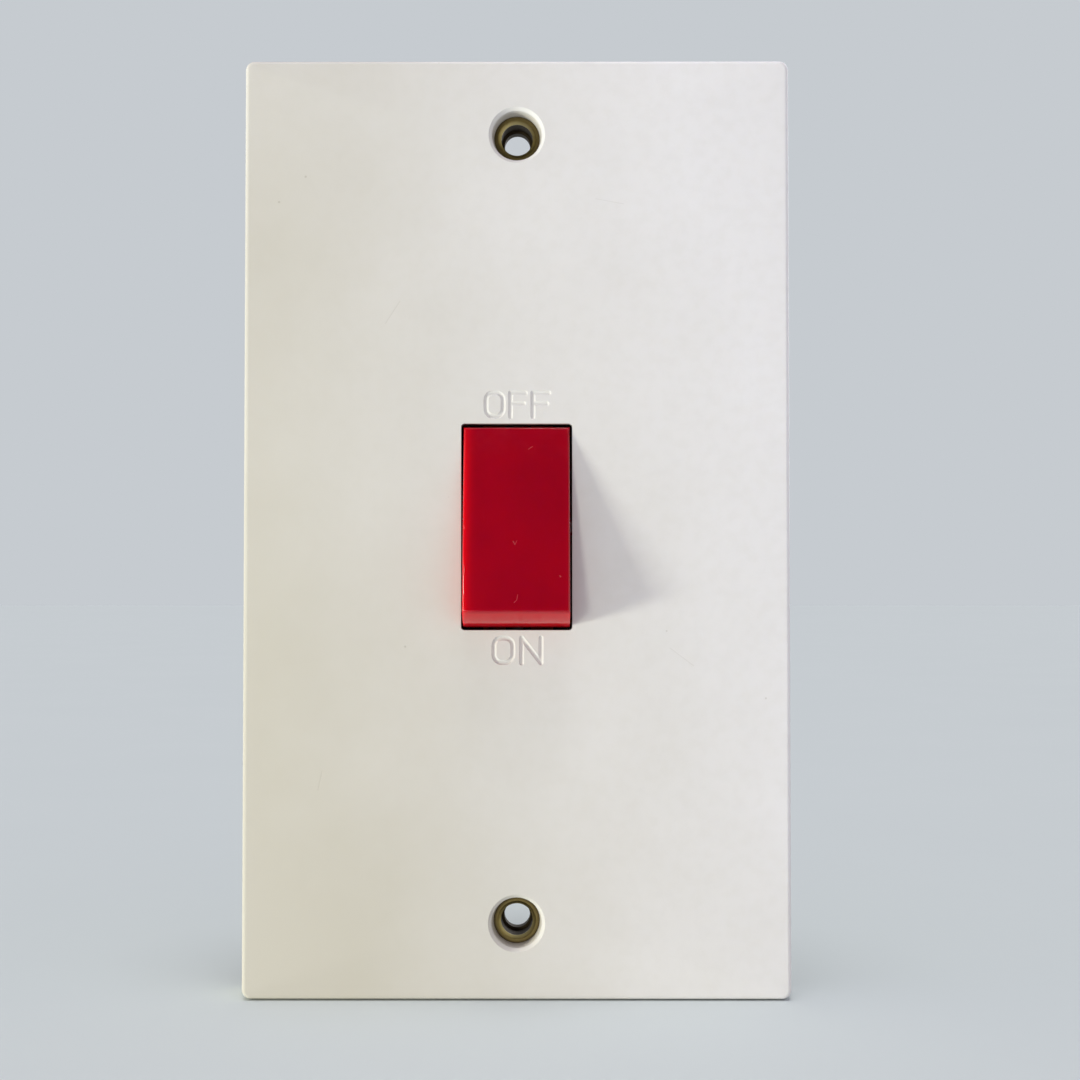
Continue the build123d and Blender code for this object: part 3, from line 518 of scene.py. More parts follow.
@dataclass(frozen=True)
class PolishedRed:
    """Polished red moulding, a little clear below its skin, with the nicks of use and painted
    light on its left edge and ends.

    Attributes:
        body: Its colour.
        deep: Its colour in the cloudier patches.
        painted_light_red: Painted light: a brighter red along the left edge and on its two ends.
        pale: The bruised colour on nicks and worn edges.
        half_length: Half the length of its face.
        face_height: How far its face is from the pivot.
        marks: The nicks and hairlines on the face.
    """

    body: tuple[float, ...] = srgb(161, 1, 26)
    deep: tuple[float, ...] = srgb(152, 1, 27)
    painted_light_red: tuple[float, ...] = srgb(192, 3, 22)
    pale: tuple[float, ...] = srgb(206, 66, 74)
    half_length: float = 14.2 * MM
    face_height: float = 6.3 * MM
    marks: tuple[Mark, ...] = (
        Mark((1.8 * MM, 11.8 * MM), (2.4 * MM, 12.2 * MM), 0.10 * MM),
        Mark((-0.5 * MM, -2.3 * MM), (-0.2 * MM, -2.8 * MM), 0.09 * MM),
        Mark((-0.2 * MM, -2.8 * MM), (0.1 * MM, -2.2 * MM), 0.07 * MM),
        Mark((6.55 * MM, -7.5 * MM), (6.65 * MM, -7.65 * MM), 0.15 * MM),
        Mark((0.25 * MM, -10.3 * MM), (0.1 * MM, -11.1 * MM), 0.07 * MM),
        Mark((0.1 * MM, -11.1 * MM), (-0.3 * MM, -11.5 * MM), 0.07 * MM),
        Mark((-8.1 * MM, 0.1 * MM), (-7.9 * MM, -0.3 * MM), 0.26 * MM),
    )

    def material(self) -> bpy.types.Material:
        """Builds the finish.

        Returns:
            The material.
        """
        surface = Surface("red_moulding")
        cloud = surface.noise(9 * MM, 3.0).ramp(0.3, 0.75)
        body = surface.blend(cloud, self.body, self.deep)
        # Painted light: the left edge and both end faces are painted a brighter red.
        edge = surface.x.ramp(-5.4 * MM, -8.0 * MM)
        from_pivot = surface.y - PIVOT_Y
        along = surface.z * math.cos(TILT) + from_pivot * math.sin(TILT)
        end = abs(along).ramp(self.half_length - 0.05 * MM, self.half_length + 0.4 * MM)
        body = surface.blend((edge * edge).at_least(end), body, self.painted_light_red)
        height = from_pivot * math.cos(TILT) - surface.z * math.sin(TILT)
        nicks = all_marks(surface, self.marks)
        nicks = nicks * height.ramp(0.4 * MM - self.face_height, 0.1 * MM - self.face_height)
        hairs = surface.noise(0.55 * MM, 4.0, along=(1.0, 1.0, 0.12)).ramp(0.66, 0.78)
        smears = surface.noise(6 * MM, 5.0, along=(1.0, 1.0, 0.4)).ramp(0.45, 0.75)
        haze = surface.noise(2.4 * MM, 3.0).ramp(0.42, 0.8) * along.ramp(8.0 * MM, 13.5 * MM)
        worn = (nicks * 0.34).at_least(hairs * 0.05).at_least(haze * 0.08)
        body = surface.blend(worn, body, self.pale)
        roughness = 0.06 + smears * 0.05 + hairs * 0.08 + nicks * 0.3
        wave = surface.noise(4.5 * MM, 1.0)
        normal = surface.bump(wave, 0.006 * MM)
        normal = surface.bump(1.0 - nicks, 0.02 * MM, normal)
        return surface.finish(
            Base_Color=body,
            Roughness=roughness,
            Normal=normal,
            IOR=1.45,
            Subsurface_Weight=0.75,
            Subsurface_Radius=(1.0, 0.07, 0.09),
            Subsurface_Scale=3.4 * MM,
        )


@dataclass(frozen=True)
class MouldedBlack:
    """Black phenolic moulding with a fine matt skin and dusty flats.

    Attributes:
        body: Its colour.
        dust: The colour of the dust on it.
    """

    body: tuple[float, ...] = srgb(31, 31, 33)
    dust: tuple[float, ...] = srgb(98, 95, 90)

    def material(self) -> bpy.types.Material:
        """Builds the finish.

        Returns:
            The material.
        """
        surface = Surface("black_moulding")
        flow = surface.noise(7 * MM, 5.0, along=(1.0, 1.0, 0.3))
        grain = surface.noise(0.22 * MM, 3.0)
        specks = surface.specks(2.6 * MM, 0.05)
        dusty = flow.ramp(0.5, 0.8) * 0.14 + specks * 0.30
        body = surface.blend(dusty, self.body, self.dust)
        normal = surface.bump(grain, 0.010 * MM)
        normal = surface.bump(flow, 0.02 * MM, normal)
        return surface.finish(
            Base_Color=body,
            Roughness=0.40 + grain * 0.12 + dusty * 0.5,
            Normal=normal,
            IOR=1.55,
        )


@dataclass(frozen=True)
class Nylon:
    """Natural nylon, milky and slightly waxy.

    Attributes:
        body: Its colour.
        rubbed: The greyer colour where it has rubbed.
    """

    body: tuple[float, ...] = srgb(226, 222, 208)
    rubbed: tuple[float, ...] = srgb(176, 172, 160)

    def material(self) -> bpy.types.Material:
        """Builds the finish.

        Returns:
            The material.
        """
        surface = Surface("natural_nylon")
        streaks = surface.noise(0.5 * MM, 3.0, along=(1.0, 0.15, 1.0))
        body = surface.blend(streaks.ramp(0.45, 0.8) * 0.5, self.body, self.rubbed)
        return surface.finish(
            Base_Color=body,
            Roughness=0.38 + streaks * 0.15,
            Normal=surface.bump(streaks, 0.004 * MM),
            Subsurface_Weight=0.2,
            Subsurface_Radius=(1.0, 0.9, 0.7),
            Subsurface_Scale=1.0 * MM,
        )


class Grain(Enum):
    """How the last tool or mill left a metal: how far its lines run along each axis."""

    TURNED = (1.0, 30.0, 1.0)
    ROLLED = (4.0, 1.0, 0.25)
    DRAWN = (0.4, 1.0, 1.0)
    PLATED = (1.0, 1.0, 1.0)


@dataclass(frozen=True)
class Metal:
    """A bare or plated metal with tool lines, tarnish and bright rubbed spots.

    Attributes:
        name: The name of the material.
        clean: Its colour where it is bright.
        tarnish: Its colour where it has dulled.
        grain: The kind of tool lines.
        line: The width of the lines in metres.
        dullness: How much of it has dulled, from 0 to 1.
        roughness: How rough the bright metal is.
    """

    name: str
    clean: tuple[float, ...]
    tarnish: tuple[float, ...]
    grain: Grain
    line: float = 0.18 * MM
    dullness: float = 0.3
    roughness: float = 0.26

    def material(self) -> bpy.types.Material:
        """Builds the finish.

        Returns:
            The material.
        """
        surface = Surface(self.name)
        lines = surface.noise(self.line, 2.0, along=self.grain.value)
        bloom = surface.noise(2.6 * MM, 5.0)
        spots = surface.noise(0.7 * MM, 3.0)
        edge = 1.0 - self.dullness
        dull = (bloom * 0.7 + spots * 0.3).ramp(edge * 0.7, edge * 0.7 + 0.3)
        body = surface.blend(dull, self.clean, self.tarnish)
        normal = surface.bump(lines, 0.004 * MM)
        normal = surface.bump(spots, 0.003 * MM, normal)
        return surface.finish(
            Base_Color=body,
            Metallic=1.0 - dull * 0.25,
            Roughness=self.roughness + lines * 0.10 + dull * 0.25,
            Normal=normal,
        )


@dataclass(frozen=True)
class BushBrass:
    """Old turned brass: rubbed bright round the bore's mouth, and dark brown round it and in it,
    as dirt and painted shade.

    Attributes:
        rubbed: Its colour where screws have rubbed it.
        body: Its dulled colour.
        dirt_and_shade: The brown of its outer edge and its bore.
        head_y: Where the front of its head is.
        head_radius: The radius of its head.
        mouth_radius: The radius of the bore's mouth.
        bore_radius: The radius of the bore.
    """

    rubbed: tuple[float, ...] = srgb(206, 192, 138)
    body: tuple[float, ...] = srgb(138, 120, 74)
    # dirt: The brown of dirt and painted shade on the outer band of its head and in its bore.
    dirt_and_shade: tuple[float, ...] = srgb(62, 48, 24)
    head_y: float = -5.6 * MM
    head_radius: float = 3.5 * MM
    mouth_radius: float = 2.95 * MM
    bore_radius: float = 2.45 * MM

    def material(self) -> bpy.types.Material:
        """Builds the finish.

        Returns:
            The material.
        """
        surface = Surface("turned_bush_brass")
        radius = surface.from_hole(HOLE_HEIGHT)
        lines = surface.noise(0.12 * MM, 2.0, along=Grain.TURNED.value)
        bloom = surface.noise(1.7 * MM, 4.0)
        head = surface.y.ramp(self.head_y + 0.9 * MM, self.head_y + 0.5 * MM)
        rim = head * radius.ramp(self.mouth_radius, self.bore_radius + 0.1 * MM)
        # Painted shade: the bore and the outer band of the head are painted dark brown, with dirt
        # in patches.
        bore = (1.0 - head) * radius.ramp(self.bore_radius + 0.25 * MM, self.bore_radius)
        outer = head * radius.ramp(self.mouth_radius, self.head_radius)
        soil_and_shade = bore.at_least(outer * 0.75).at_least(bloom.ramp(0.5, 0.8) * 0.45)
        soil_and_shade = (soil_and_shade - rim * 0.3).clamped()
        body = surface.blend(rim * (0.35 + bloom * 0.8), self.body, self.rubbed)
        body = surface.blend(soil_and_shade, body, self.dirt_and_shade)
        return surface.finish(
            Base_Color=body,
            Metallic=1.0 - soil_and_shade * 0.5,
            Roughness=0.30 + lines * 0.10 + soil_and_shade * 0.28,
            Normal=surface.bump(lines, 0.004 * MM),
        )


TERMINAL_BRASS = Metal(
    "milled_terminal_brass", srgb(214, 184, 112), srgb(158, 124, 66), Grain.ROLLED, dullness=0.25
)
ZINC = Metal(
    "zinc_plated_steel", srgb(196, 197, 194), srgb(142, 140, 128), Grain.PLATED,
    line=0.3 * MM, roughness=0.30,
)
SPRING_STEEL = Metal(
    "spring_steel", srgb(150, 150, 152), srgb(92, 90, 88), Grain.DRAWN, line=0.08 * MM
)
COPPER = Metal(
    "rolled_copper", srgb(208, 140, 104), srgb(142, 82, 58), Grain.ROLLED, dullness=0.35
)
SILVER = Metal(
    "contact_silver", srgb(228, 227, 220), srgb(170, 166, 152), Grain.PLATED, roughness=0.2
)


def new_piece(name: str, mesh: bpy.types.Mesh) -> bpy.types.Object:
    """Puts a finished mesh into the scene as an object at the origin.

    Args:
        name: The object's name.
        mesh: Its mesh.

    Returns:
        The object.
    """
    piece = bpy.data.objects.new(name, mesh)
    bpy.context.scene.collection.objects.link(piece)
    return piece


def plain_mesh(
    name: str,
    points: Sequence[Sequence[float]],
    edges: Sequence[tuple[int, int]] = (),
    faces: Sequence[Sequence[int]] = (),
) -> bpy.types.Mesh:
    """Makes a mesh from its points, edges and faces.

    Args:
        name: The mesh's name.
        points: Its points.
        edges: The two points of each loose edge.
        faces: The points of each face.

    Returns:
        The mesh.
    """
    mesh = bpy.data.meshes.new(name)
    mesh.from_pydata([tuple(point) for point in points], edges, faces)
    return mesh


def filled_mesh(name: str, shape: bmesh.types.BMesh) -> bpy.types.Mesh:
    """Turns a shape under construction into a mesh, and frees it.

    Args:
        name: The mesh's name.
        shape: The shape.

    Returns:
        The mesh.
    """
    mesh = bpy.data.meshes.new(name)
    shape.to_mesh(mesh)
    shape.free()
    return mesh


def merged_shape(node: bpy.types.Object) -> bmesh.types.BMesh:
    """Copies a node's mesh, with its loose triangles closed into skins.

    Args:
        node: The node's object.

    Returns:
        The copy, which the caller frees.
    """
    shape = bmesh.new()
    shape.from_mesh(node.data)
    bmesh.ops.remove_doubles(shape, verts=shape.verts, dist=MERGE_GAP)
    return shape


def merged_copy(node: bpy.types.Object, name: str) -> bpy.types.Object:
    """Copies a node's mesh as one closed skin.

    Args:
        node: The node's object, which is left alone.
        name: The copy's name.

    Returns:
        The copy, linked to the scene, at the origin.
    """
    mesh = filled_mesh(name, merged_shape(node))
    if "custom_normal" in mesh.attributes:
        mesh.attributes.remove(mesh.attributes["custom_normal"])
    return new_piece(name, mesh)


def shade(piece: bpy.types.Object, angle: float, material: bpy.types.Material) -> None:
    """Smooths the shading except at sharp edges, and gives the piece its material.

    Args:
        piece: The piece.
        angle: The angle in degrees from which an edge stays sharp.
        material: Its only material.
    """
    mesh = piece.data
    mesh.polygons.foreach_set("use_smooth", [True] * len(mesh.polygons))
    mesh.set_sharp_from_angle(angle=math.radians(angle))
    mesh.materials.clear()
    mesh.materials.append(material)
    mesh.polygons.foreach_set("material_index", [0] * len(mesh.polygons))
    mesh.update()


def baked(piece: bpy.types.Object) -> bpy.types.Mesh:
    """The mesh that a piece's modifiers make of it, free of the piece itself."""
    depsgraph = bpy.context.evaluated_depsgraph_get()
    return bpy.data.meshes.new_from_object(piece.evaluated_get(depsgraph), depsgraph=depsgraph)


def discard(*things: bpy.types.Object) -> None:
    """Removes helper objects with their meshes."""
    for thing in things:
        mesh = thing.data
        bpy.data.objects.remove(thing)
        bpy.data.meshes.remove(mesh)


def cut_away(
    piece: bpy.types.Object, cutter: bpy.types.Object, overlapping: bool = False
) -> bpy.types.Mesh:
    """Cuts one solid out of another, and removes both.

    Args:
        piece: The solid that is cut.
        cutter: The solid that cuts it.
        overlapping: Whether parts of the cutter overlap each other.

    Returns:
        What is left of the piece.
    """
    cut = piece.modifiers.new("cut", "BOOLEAN")
    cut.operation = "DIFFERENCE"
    cut.solver = "EXACT"
    cut.use_self = overlapping
    cut.object = cutter
    mesh = baked(piece)
    discard(piece, cutter)
    return mesh


def hand_over(piece: bpy.types.Object, node: str, body: str) -> bpy.types.Object:
    """Hides the node that a finished piece replaces, and ties the piece to the body that it moves
    with.

    Args:
        piece: The piece.
        node: The node that it replaces.
        body: The body that it moves with.

    Returns:
        The piece.
    """
    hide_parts(node)
    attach(piece, body)
    return piece


@dataclass
class NodeTool:
    """A Geometry Nodes tree with named inputs, and the way to run it on a mesh.

    Attributes:
        name: The tree's name.
        inputs: Each input's name with the kind of its socket, such as Float.
        build: Fills the tree, given its graph and its input sockets by name, and returns
            the geometry.
    """

    name: str
    inputs: dict[str, str]
    build: Callable[[Graph, dict[str, bpy.types.NodeSocket]], bpy.types.NodeSocket]
    tree: bpy.types.NodeTree = field(init=False)

    def __post_init__(self) -> None:
        """Builds the tree, which ends in Realize Instances and Set Material."""
        self.tree = bpy.data.node_groups.new(self.name, "GeometryNodeTree")
        face = self.tree.interface
        face.new_socket("Geometry", in_out="INPUT", socket_type="NodeSocketGeometry")
        for name, kind in (self.inputs | {"Finish": "Material"}).items():
            face.new_socket(name, in_out="INPUT", socket_type=f"NodeSocket{kind}")
        face.new_socket("Geometry", in_out="OUTPUT", socket_type="NodeSocketGeometry")
        graph = Graph(self.tree)
        entry = graph.node("NodeGroupInput")
        sockets = {socket.name: socket for socket in entry.outputs if socket.name}
        shape = self.build(graph, sockets)
        real = graph.node("GeometryNodeRealizeInstances", {0: shape})
        coated = graph.node(
            "GeometryNodeSetMaterial", {"Geometry": real.outputs[0], "Material": sockets["Finish"]}
        )
        graph.node("NodeGroupOutput", {0: coated.outputs[0]})

    def run(
        self, points: Sequence[Vector], values: dict[str, object], finish: bpy.types.Material
    ) -> bpy.types.Mesh:
        """Runs the tree on a mesh of loose points.

        Args:
            points: The points.
            values: A value for each named input.
            finish: The material of the result.

        Returns:
            The plain mesh that it makes.
        """
        holder = new_piece(self.name, plain_mesh(self.name, points))
        modifier = holder.modifiers.new(self.name, "NODES")
        modifier.node_group = self.tree
        values = values | {"Finish": finish}
        for item in self.tree.interface.items_tree:
            if item.in_out == "INPUT" and item.name in values:
                modifier[item.identifier] = values[item.name]
        result = baked(holder)
        holder.modifiers.remove(modifier)
        discard(holder)
        return result


def screw_tree(graph: Graph, given: dict[str, bpy.types.NodeSocket]) -> bpy.types.NodeSocket:
    """A screw at each point: a head or body from a mesh, with a rolled thread round its core.

    Args:
        graph: The graph to fill.
        given: Body, Core Radius, Thread Start, Thread Length, Pitch, Ridge, Turn and Seed.

    Returns:
        The instances.
    """
    body = graph.node("GeometryNodeObjectInfo", {"Object": given["Body"]})
    length = Term(graph, given["Thread Length"])
    turns = length / Term(graph, given["Pitch"])
    helix = graph.helix(20, turns, given["Core Radius"], length)
    ridge = graph.swept(helix, 3, given["Ridge"])
    lift = graph.node("ShaderNodeCombineXYZ", {"Z": given["Thread Start"]})
    thread = graph.node(
        "GeometryNodeTransform", {"Geometry": ridge, "Translation": lift.outputs[0]}
    )
    whole = graph.joined(body.outputs["Geometry"], thread.outputs[0])
    spread = graph.node(
        "FunctionNodeRandomValue",
        {2: 0.0, 3: given["Turn"], "Seed": given["Seed"]},
        data_type="FLOAT",
    )
    turn = graph.node("ShaderNodeCombineXYZ", {"Z": spread.outputs[1]})
    laid = graph.node(
        "GeometryNodeInstanceOnPoints",
        {
            "Points": given["Geometry"],
            "Instance": whole,
            "Rotation": (-math.pi / 2, 0.0, 0.0),
        },
    )
    turned = graph.node(
        "GeometryNodeRotateInstances",
        {"Instances": laid.outputs[0], "Rotation": turn.outputs[0], "Local Space": True},
    )
    return turned.outputs[0]


def coil_tree(graph: Graph, given: dict[str, bpy.types.NodeSocket]) -> bpy.types.NodeSocket:
    """A coil of round wire that stands on the origin.

    Args:
        graph: The graph to fill.
        given: Turns, Coil Radius, Length and Wire Radius.

    Returns:
        The coil.
    """
    helix = graph.helix(28, given["Turns"], given["Coil Radius"], given["Length"])
    wire = graph.swept(helix, 10, given["Wire Radius"])
    return graph.node("GeometryNodeSetShadeSmooth", {"Geometry": wire}).outputs[0]


def groove_tree(graph: Graph, given: dict[str, bpy.types.NodeSocket]) -> bpy.types.NodeSocket:
    """A round cutter that runs along the strokes of an object's edges.

    Args:
        graph: The graph to fill.
        given: Strokes, Cutter Radius.

    Returns:
        The cutter: a tube along each stroke and a ball at each point.
    """
    strokes = graph.node("GeometryNodeObjectInfo", {"Object": given["Strokes"]})
    path = graph.node("GeometryNodeMeshToCurve", {"Mesh": strokes.outputs["Geometry"]})
    tube = graph.swept(path.outputs[0], 16, given["Cutter Radius"])
    ball = graph.node(
        "GeometryNodeMeshUVSphere", {"Segments": 16, "Rings": 10, "Radius": given["Cutter Radius"]}
    )
    balls = graph.node(
        "GeometryNodeInstanceOnPoints",
        {"Points": strokes.outputs["Geometry"], "Instance": ball.outputs[0]},
    )
    return graph.joined(tube, balls.outputs[0])


Stroke = list[tuple[float, float]]


@dataclass
class Words:
    """The words OFF and ON as strokes of a round-nosed cutter, seen from the front.

    Attributes:
        width: The width of a groove at the surface.
        depth: The depth of a groove.
        off_top: The height of the top of OFF, at the middle of its groove, in millimetres.
        off_foot: The height of its foot.
        on_top: The height of the top of ON.
        on_foot: The height of its foot.
    """

    width: float = 0.78 * MM
    depth: float = 0.19 * MM
    off_top: float = 20.50
    off_foot: float = 16.82
    on_top: float = -16.98
    on_foot: float = -20.78

    def ring(self, left: float, right: float, foot: float, top: float) -> Stroke:
        """The letter O as a tall ring with round corners.

        Args:
            left: Its left side.
            right: Its right side.
            foot: Its lowest point.
            top: Its highest point.

        Returns:
            Its points in order.
        """
        corner = 0.40 * (right - left)
        steps = 6
        points = []
        centres = (
            (right - corner, top - corner),
            (left + corner, top - corner),
            (left + corner, foot + corner),
            (right - corner, foot + corner),
        )
        for quarter, (x, z) in enumerate(centres):
            for step in range(steps):
                angle = math.radians(90 * (quarter + step / (steps - 1)))
                points.append((x + corner * math.cos(angle), z + corner * math.sin(angle)))
        return points

    def letter_f(self, stem: float, reach: float) -> list[Stroke]:
        """The three strokes of an F.

        Args:
            stem: Where its stem is.
            reach: Where its top bar ends.

        Returns:
            The strokes.
        """
        bar = self.off_top - 1.62
        return [
            [(stem, self.off_foot), (stem, self.off_top)],
            [(stem, self.off_top), (reach, self.off_top)],
            [(stem, bar), (reach - 0.30, bar)],
        ]

    def strokes(self) -> list[tuple[Stroke, bool]]:
        """Every stroke of both words, with whether it closes on itself.

        Returns:
            The strokes in millimetres, from the left to the right of the plate's middle.
        """
        rings = [
            self.ring(-4.70, -2.08, self.off_foot + 0.12, self.off_top),
            self.ring(-3.46, -0.58, self.on_foot + 0.08, self.on_top),
        ]
        left, right = 0.75, 3.72
        lines = self.letter_f(-0.96, 1.38) + self.letter_f(2.48, 4.92)
        lines += [
            [(left, self.on_foot), (left, self.on_top)],
            [(left, self.on_top), (right, self.on_foot)],
            [(right, self.on_foot), (right, self.on_top)],
        ]
        return [(ring, True) for ring in rings] + [(line, False) for line in lines]

    def cutter(self, finish: bpy.types.Material) -> bpy.types.Object:
        """The solid that cuts both words into the plate.

        Args:
            finish: The material of the cut.

        Returns:
            The cutter, whose axis runs just above the plate's face.
        """
        radius = (self.width**2 / 4 + self.depth**2) / (2 * self.depth)
        height = FRONT_Y - (radius - self.depth)
        points: list[tuple[float, float, float]] = []
        edges: list[tuple[int, int]] = []
        for chain, closed in self.strokes():
            first = len(points)
            points.extend((x * MM, height, z * MM) for x, z in chain)
            last = len(points)
            edges.extend((index, index + 1) for index in range(first, last - 1))
            if closed:
                edges.append((last - 1, first))
        strokes = new_piece("word_strokes", plain_mesh("word_strokes", points, edges))
        inputs = {"Strokes": "Object", "Cutter Radius": "Float"}
        tool = NodeTool("engraving_cutter", inputs, groove_tree)
        cut = tool.run([Vector()], {"Strokes": strokes, "Cutter Radius": radius}, finish)
        discard(strokes)
        return new_piece("word_cutter", cut)


@dataclass
class FrontPlate:
    """The white plate, with both words cut into it."""

    finish: MouldedWhite = field(default_factory=MouldedWhite)
    words: Words = field(default_factory=Words)

    def build(self, nodes: dict[str, bpy.types.Object]) -> bpy.types.Object:
        """Cuts the words into a copy of the plate's solid.

        Args:
            nodes: The nodes by name.

        Returns:
            The finished plate.
        """
        material = self.finish.material()
        blank = merged_copy(nodes["front_plate"], "white_front_plate")
        mesh = cut_away(blank, self.words.cutter(material), overlapping=True)
        plate = new_piece("white_front_plate", mesh)
        shade(plate, SHARP_EDGE, material)
        return hand_over(plate, "front_plate", FIXED_BODY)


@dataclass
class SmoothedPiece:
    """A moulding or turned piece whose own solid is right but needs a smooth skin.

    Attributes:
        node: The node that it stands for.
        name: The piece's name.
        body: The body that it moves with.
        slot: The name of its material slot, which is not used.
        material: Its finish, already built.
        sharp: The angle in degrees from which an edge stays sharp.
    """

    node: str
    name: str
    body: str
    slot: str
    material: bpy.types.Material
    sharp: float = SHARP_EDGE

    def build(self, nodes: dict[str, bpy.types.Object]) -> bpy.types.Object:
        """Copies, merges and shades the node.

        Args:
            nodes: The nodes by name.

        Returns:
            The finished piece.
        """
        piece = merged_copy(nodes[self.node], self.name)
        shade(piece, self.sharp, self.material)
        return hand_over(piece, self.node, self.body)


def lathe(profile: Sequence[tuple[float, float]], segments: int) -> bpy.types.Mesh:
    """Turns a closed outline about Z.

    Args:
        profile: Radius and height of each point, from the foot to the top on the axis.
        segments: How many sides it gets.

    Returns:
        A closed mesh.
    """
    shape = bmesh.new()
    rings: list[list[bmesh.types.BMVert]] = []
    for radius, height in profile:
        if radius == 0.0:
            rings.append([shape.verts.new((0.0, 0.0, height))])
            continue
        angles = [2 * math.pi * step / segments for step in range(segments)]
        circle = [(radius * math.cos(angle), radius * math.sin(angle)) for angle in angles]
        rings.append([shape.verts.new((x, y, height)) for x, y in circle])
    for lower, upper in zip(rings, rings[1:]):
        for step in range(segments):
            after = (step + 1) % segments
            corners = [lower[step % len(lower)], lower[after % len(lower)]]
            corners += [upper[after % len(upper)], upper[step % len(upper)]]
            shape.faces.new(list(dict.fromkeys(corners)))
    bmesh.ops.recalc_face_normals(shape, faces=shape.faces)
    return filled_mesh("turned", shape)


class HeadStyle(Enum):
    """The heads that the screws of the switch have."""

    GRUB = "grub"
    CHEESE = "cheese"


@dataclass
class ScrewSet:
    """Slotted screws of one kind, each where a solid of its node is.

    Attributes:
        node: The node that the set stands for.
        name: The piece's name.
        style: The kind of head.
        radius: The outer radius of the thread.
        length: The length of the thread below the head, or of the whole grub screw.
        pitch: The pitch of the thread.
        seed: What sets how far each screw is turned.
        head_radius: The radius of the head, or 0 where there is none.
        head_height: The height of the head, or 0 where there is none.
        facing: 1 where the tops face into the wall, and -1 where they face the room.
        slot: The width of the slot.
        slot_depth: The depth of the slot.
    """

    node: str
    name: str
    style: HeadStyle
    radius: float
    length: float
    pitch: float
    seed: int
    head_radius: float = 0.0
    head_height: float = 0.0
    facing: int = 1
    slot: float = 1.0 * MM
    slot_depth: float = 1.1 * MM

    def tops(self, node: bpy.types.Object) -> list[Vector]:
        """Finds the middle of the top of each screw.

        Args:
            node: The node's object, with one loose solid for each screw.

        Returns:
            The places, from the left and the foot.
        """
        shape = merged_shape(node)
        places = []
        left = set(shape.verts)
        while left:
            group = [left.pop()]
            for vert in group:
                for edge in vert.link_edges:
                    other = edge.other_vert(vert)
                    if other in left:
                        left.discard(other)
                        group.append(other)
            xs, ys, zs = zip(*(vert.co for vert in group))
            top = max(ys) if self.facing > 0 else min(ys)
            places.append(Vector(((min(xs) + max(xs)) / 2, top, (min(zs) + max(zs)) / 2)))
        shape.free()
        return sorted(places, key=lambda place: (round(place.x, 5), round(place.z, 5)))

    def blank(self) -> bpy.types.Mesh:
        """Turns the screw without its thread and slot, with its top at the origin.

        Returns:
            Its mesh.
        """
        core = self.radius - SHANK_DEPTH * self.pitch
        ease = 0.12 * self.radius
        foot = -self.head_height - self.length
        profile = [(0.0, foot), (core - 2 * ease, foot), (core, foot + 2 * ease)]
        if self.style is HeadStyle.CHEESE:
            edge = 0.12 * self.head_height
            profile += [
                (core, -self.head_height),
                (self.head_radius - 0.5 * edge, -self.head_height),
                (self.head_radius, -self.head_height + 0.5 * edge),
                (self.head_radius, -2.2 * edge),
                (self.head_radius - 0.35 * edge, -0.9 * edge),
                (self.head_radius - 1.3 * edge, 0.0),
                (0.0, 0.0),
            ]
        else:
            profile += [(core, -ease), (core - ease, 0.0), (0.0, 0.0)]
        return lathe(profile, 40)

    def body_solid(self) -> bpy.types.Object:
        """Makes the screw with its slot milled, but without its thread.

        Returns:
            The screw, as a helper object.
        """
        blank = new_piece("screw_blank", self.blank())
        reach = 4 * max(self.radius, self.head_radius)
        mill = bmesh.new()
        size = Matrix.Diagonal((reach, self.slot, 2 * self.slot_depth, 1.0))
        bmesh.ops.create_cube(mill, size=1.0, matrix=size)
        cutter = new_piece("slot_mill", filled_mesh("slot_mill", mill))
        return new_piece("screw_body", cut_away(blank, cutter))

    def build(
        self, nodes: dict[str, bpy.types.Object], tool: NodeTool, material: bpy.types.Material
    ) -> bpy.types.Object:
        """Makes the set.

        Args:
            nodes: The nodes by name.
            tool: The tree that threads and places the screws.
            material: Their finish.

        Returns:
            The finished screws, as one piece.
        """
        body = self.body_solid()
        points = [
            Vector((top.x, self.facing * top.y, self.facing * top.z))
            for top in self.tops(nodes[self.node])
        ]
        margin = 1.2 * self.pitch
        ridge = THREAD_DEPTH * self.pitch
        values: dict[str, object] = {
            "Body": body,
            "Core Radius": self.radius - ridge,
            "Thread Start": -self.head_height - self.length + margin,
            "Thread Length": self.length - 2 * margin,
            "Pitch": self.pitch,
            "Ridge": ridge,
            "Turn": math.pi,
            "Seed": self.seed,
        }
        mesh = tool.run(points, values, material)
        discard(body)
        if self.facing < 0:
            mesh.transform(Matrix.Rotation(math.pi, 4, "X"))
        piece = new_piece(self.name, mesh)
        shade(piece, SCREW_EDGE, material)
        return hand_over(piece, self.node, FIXED_BODY)


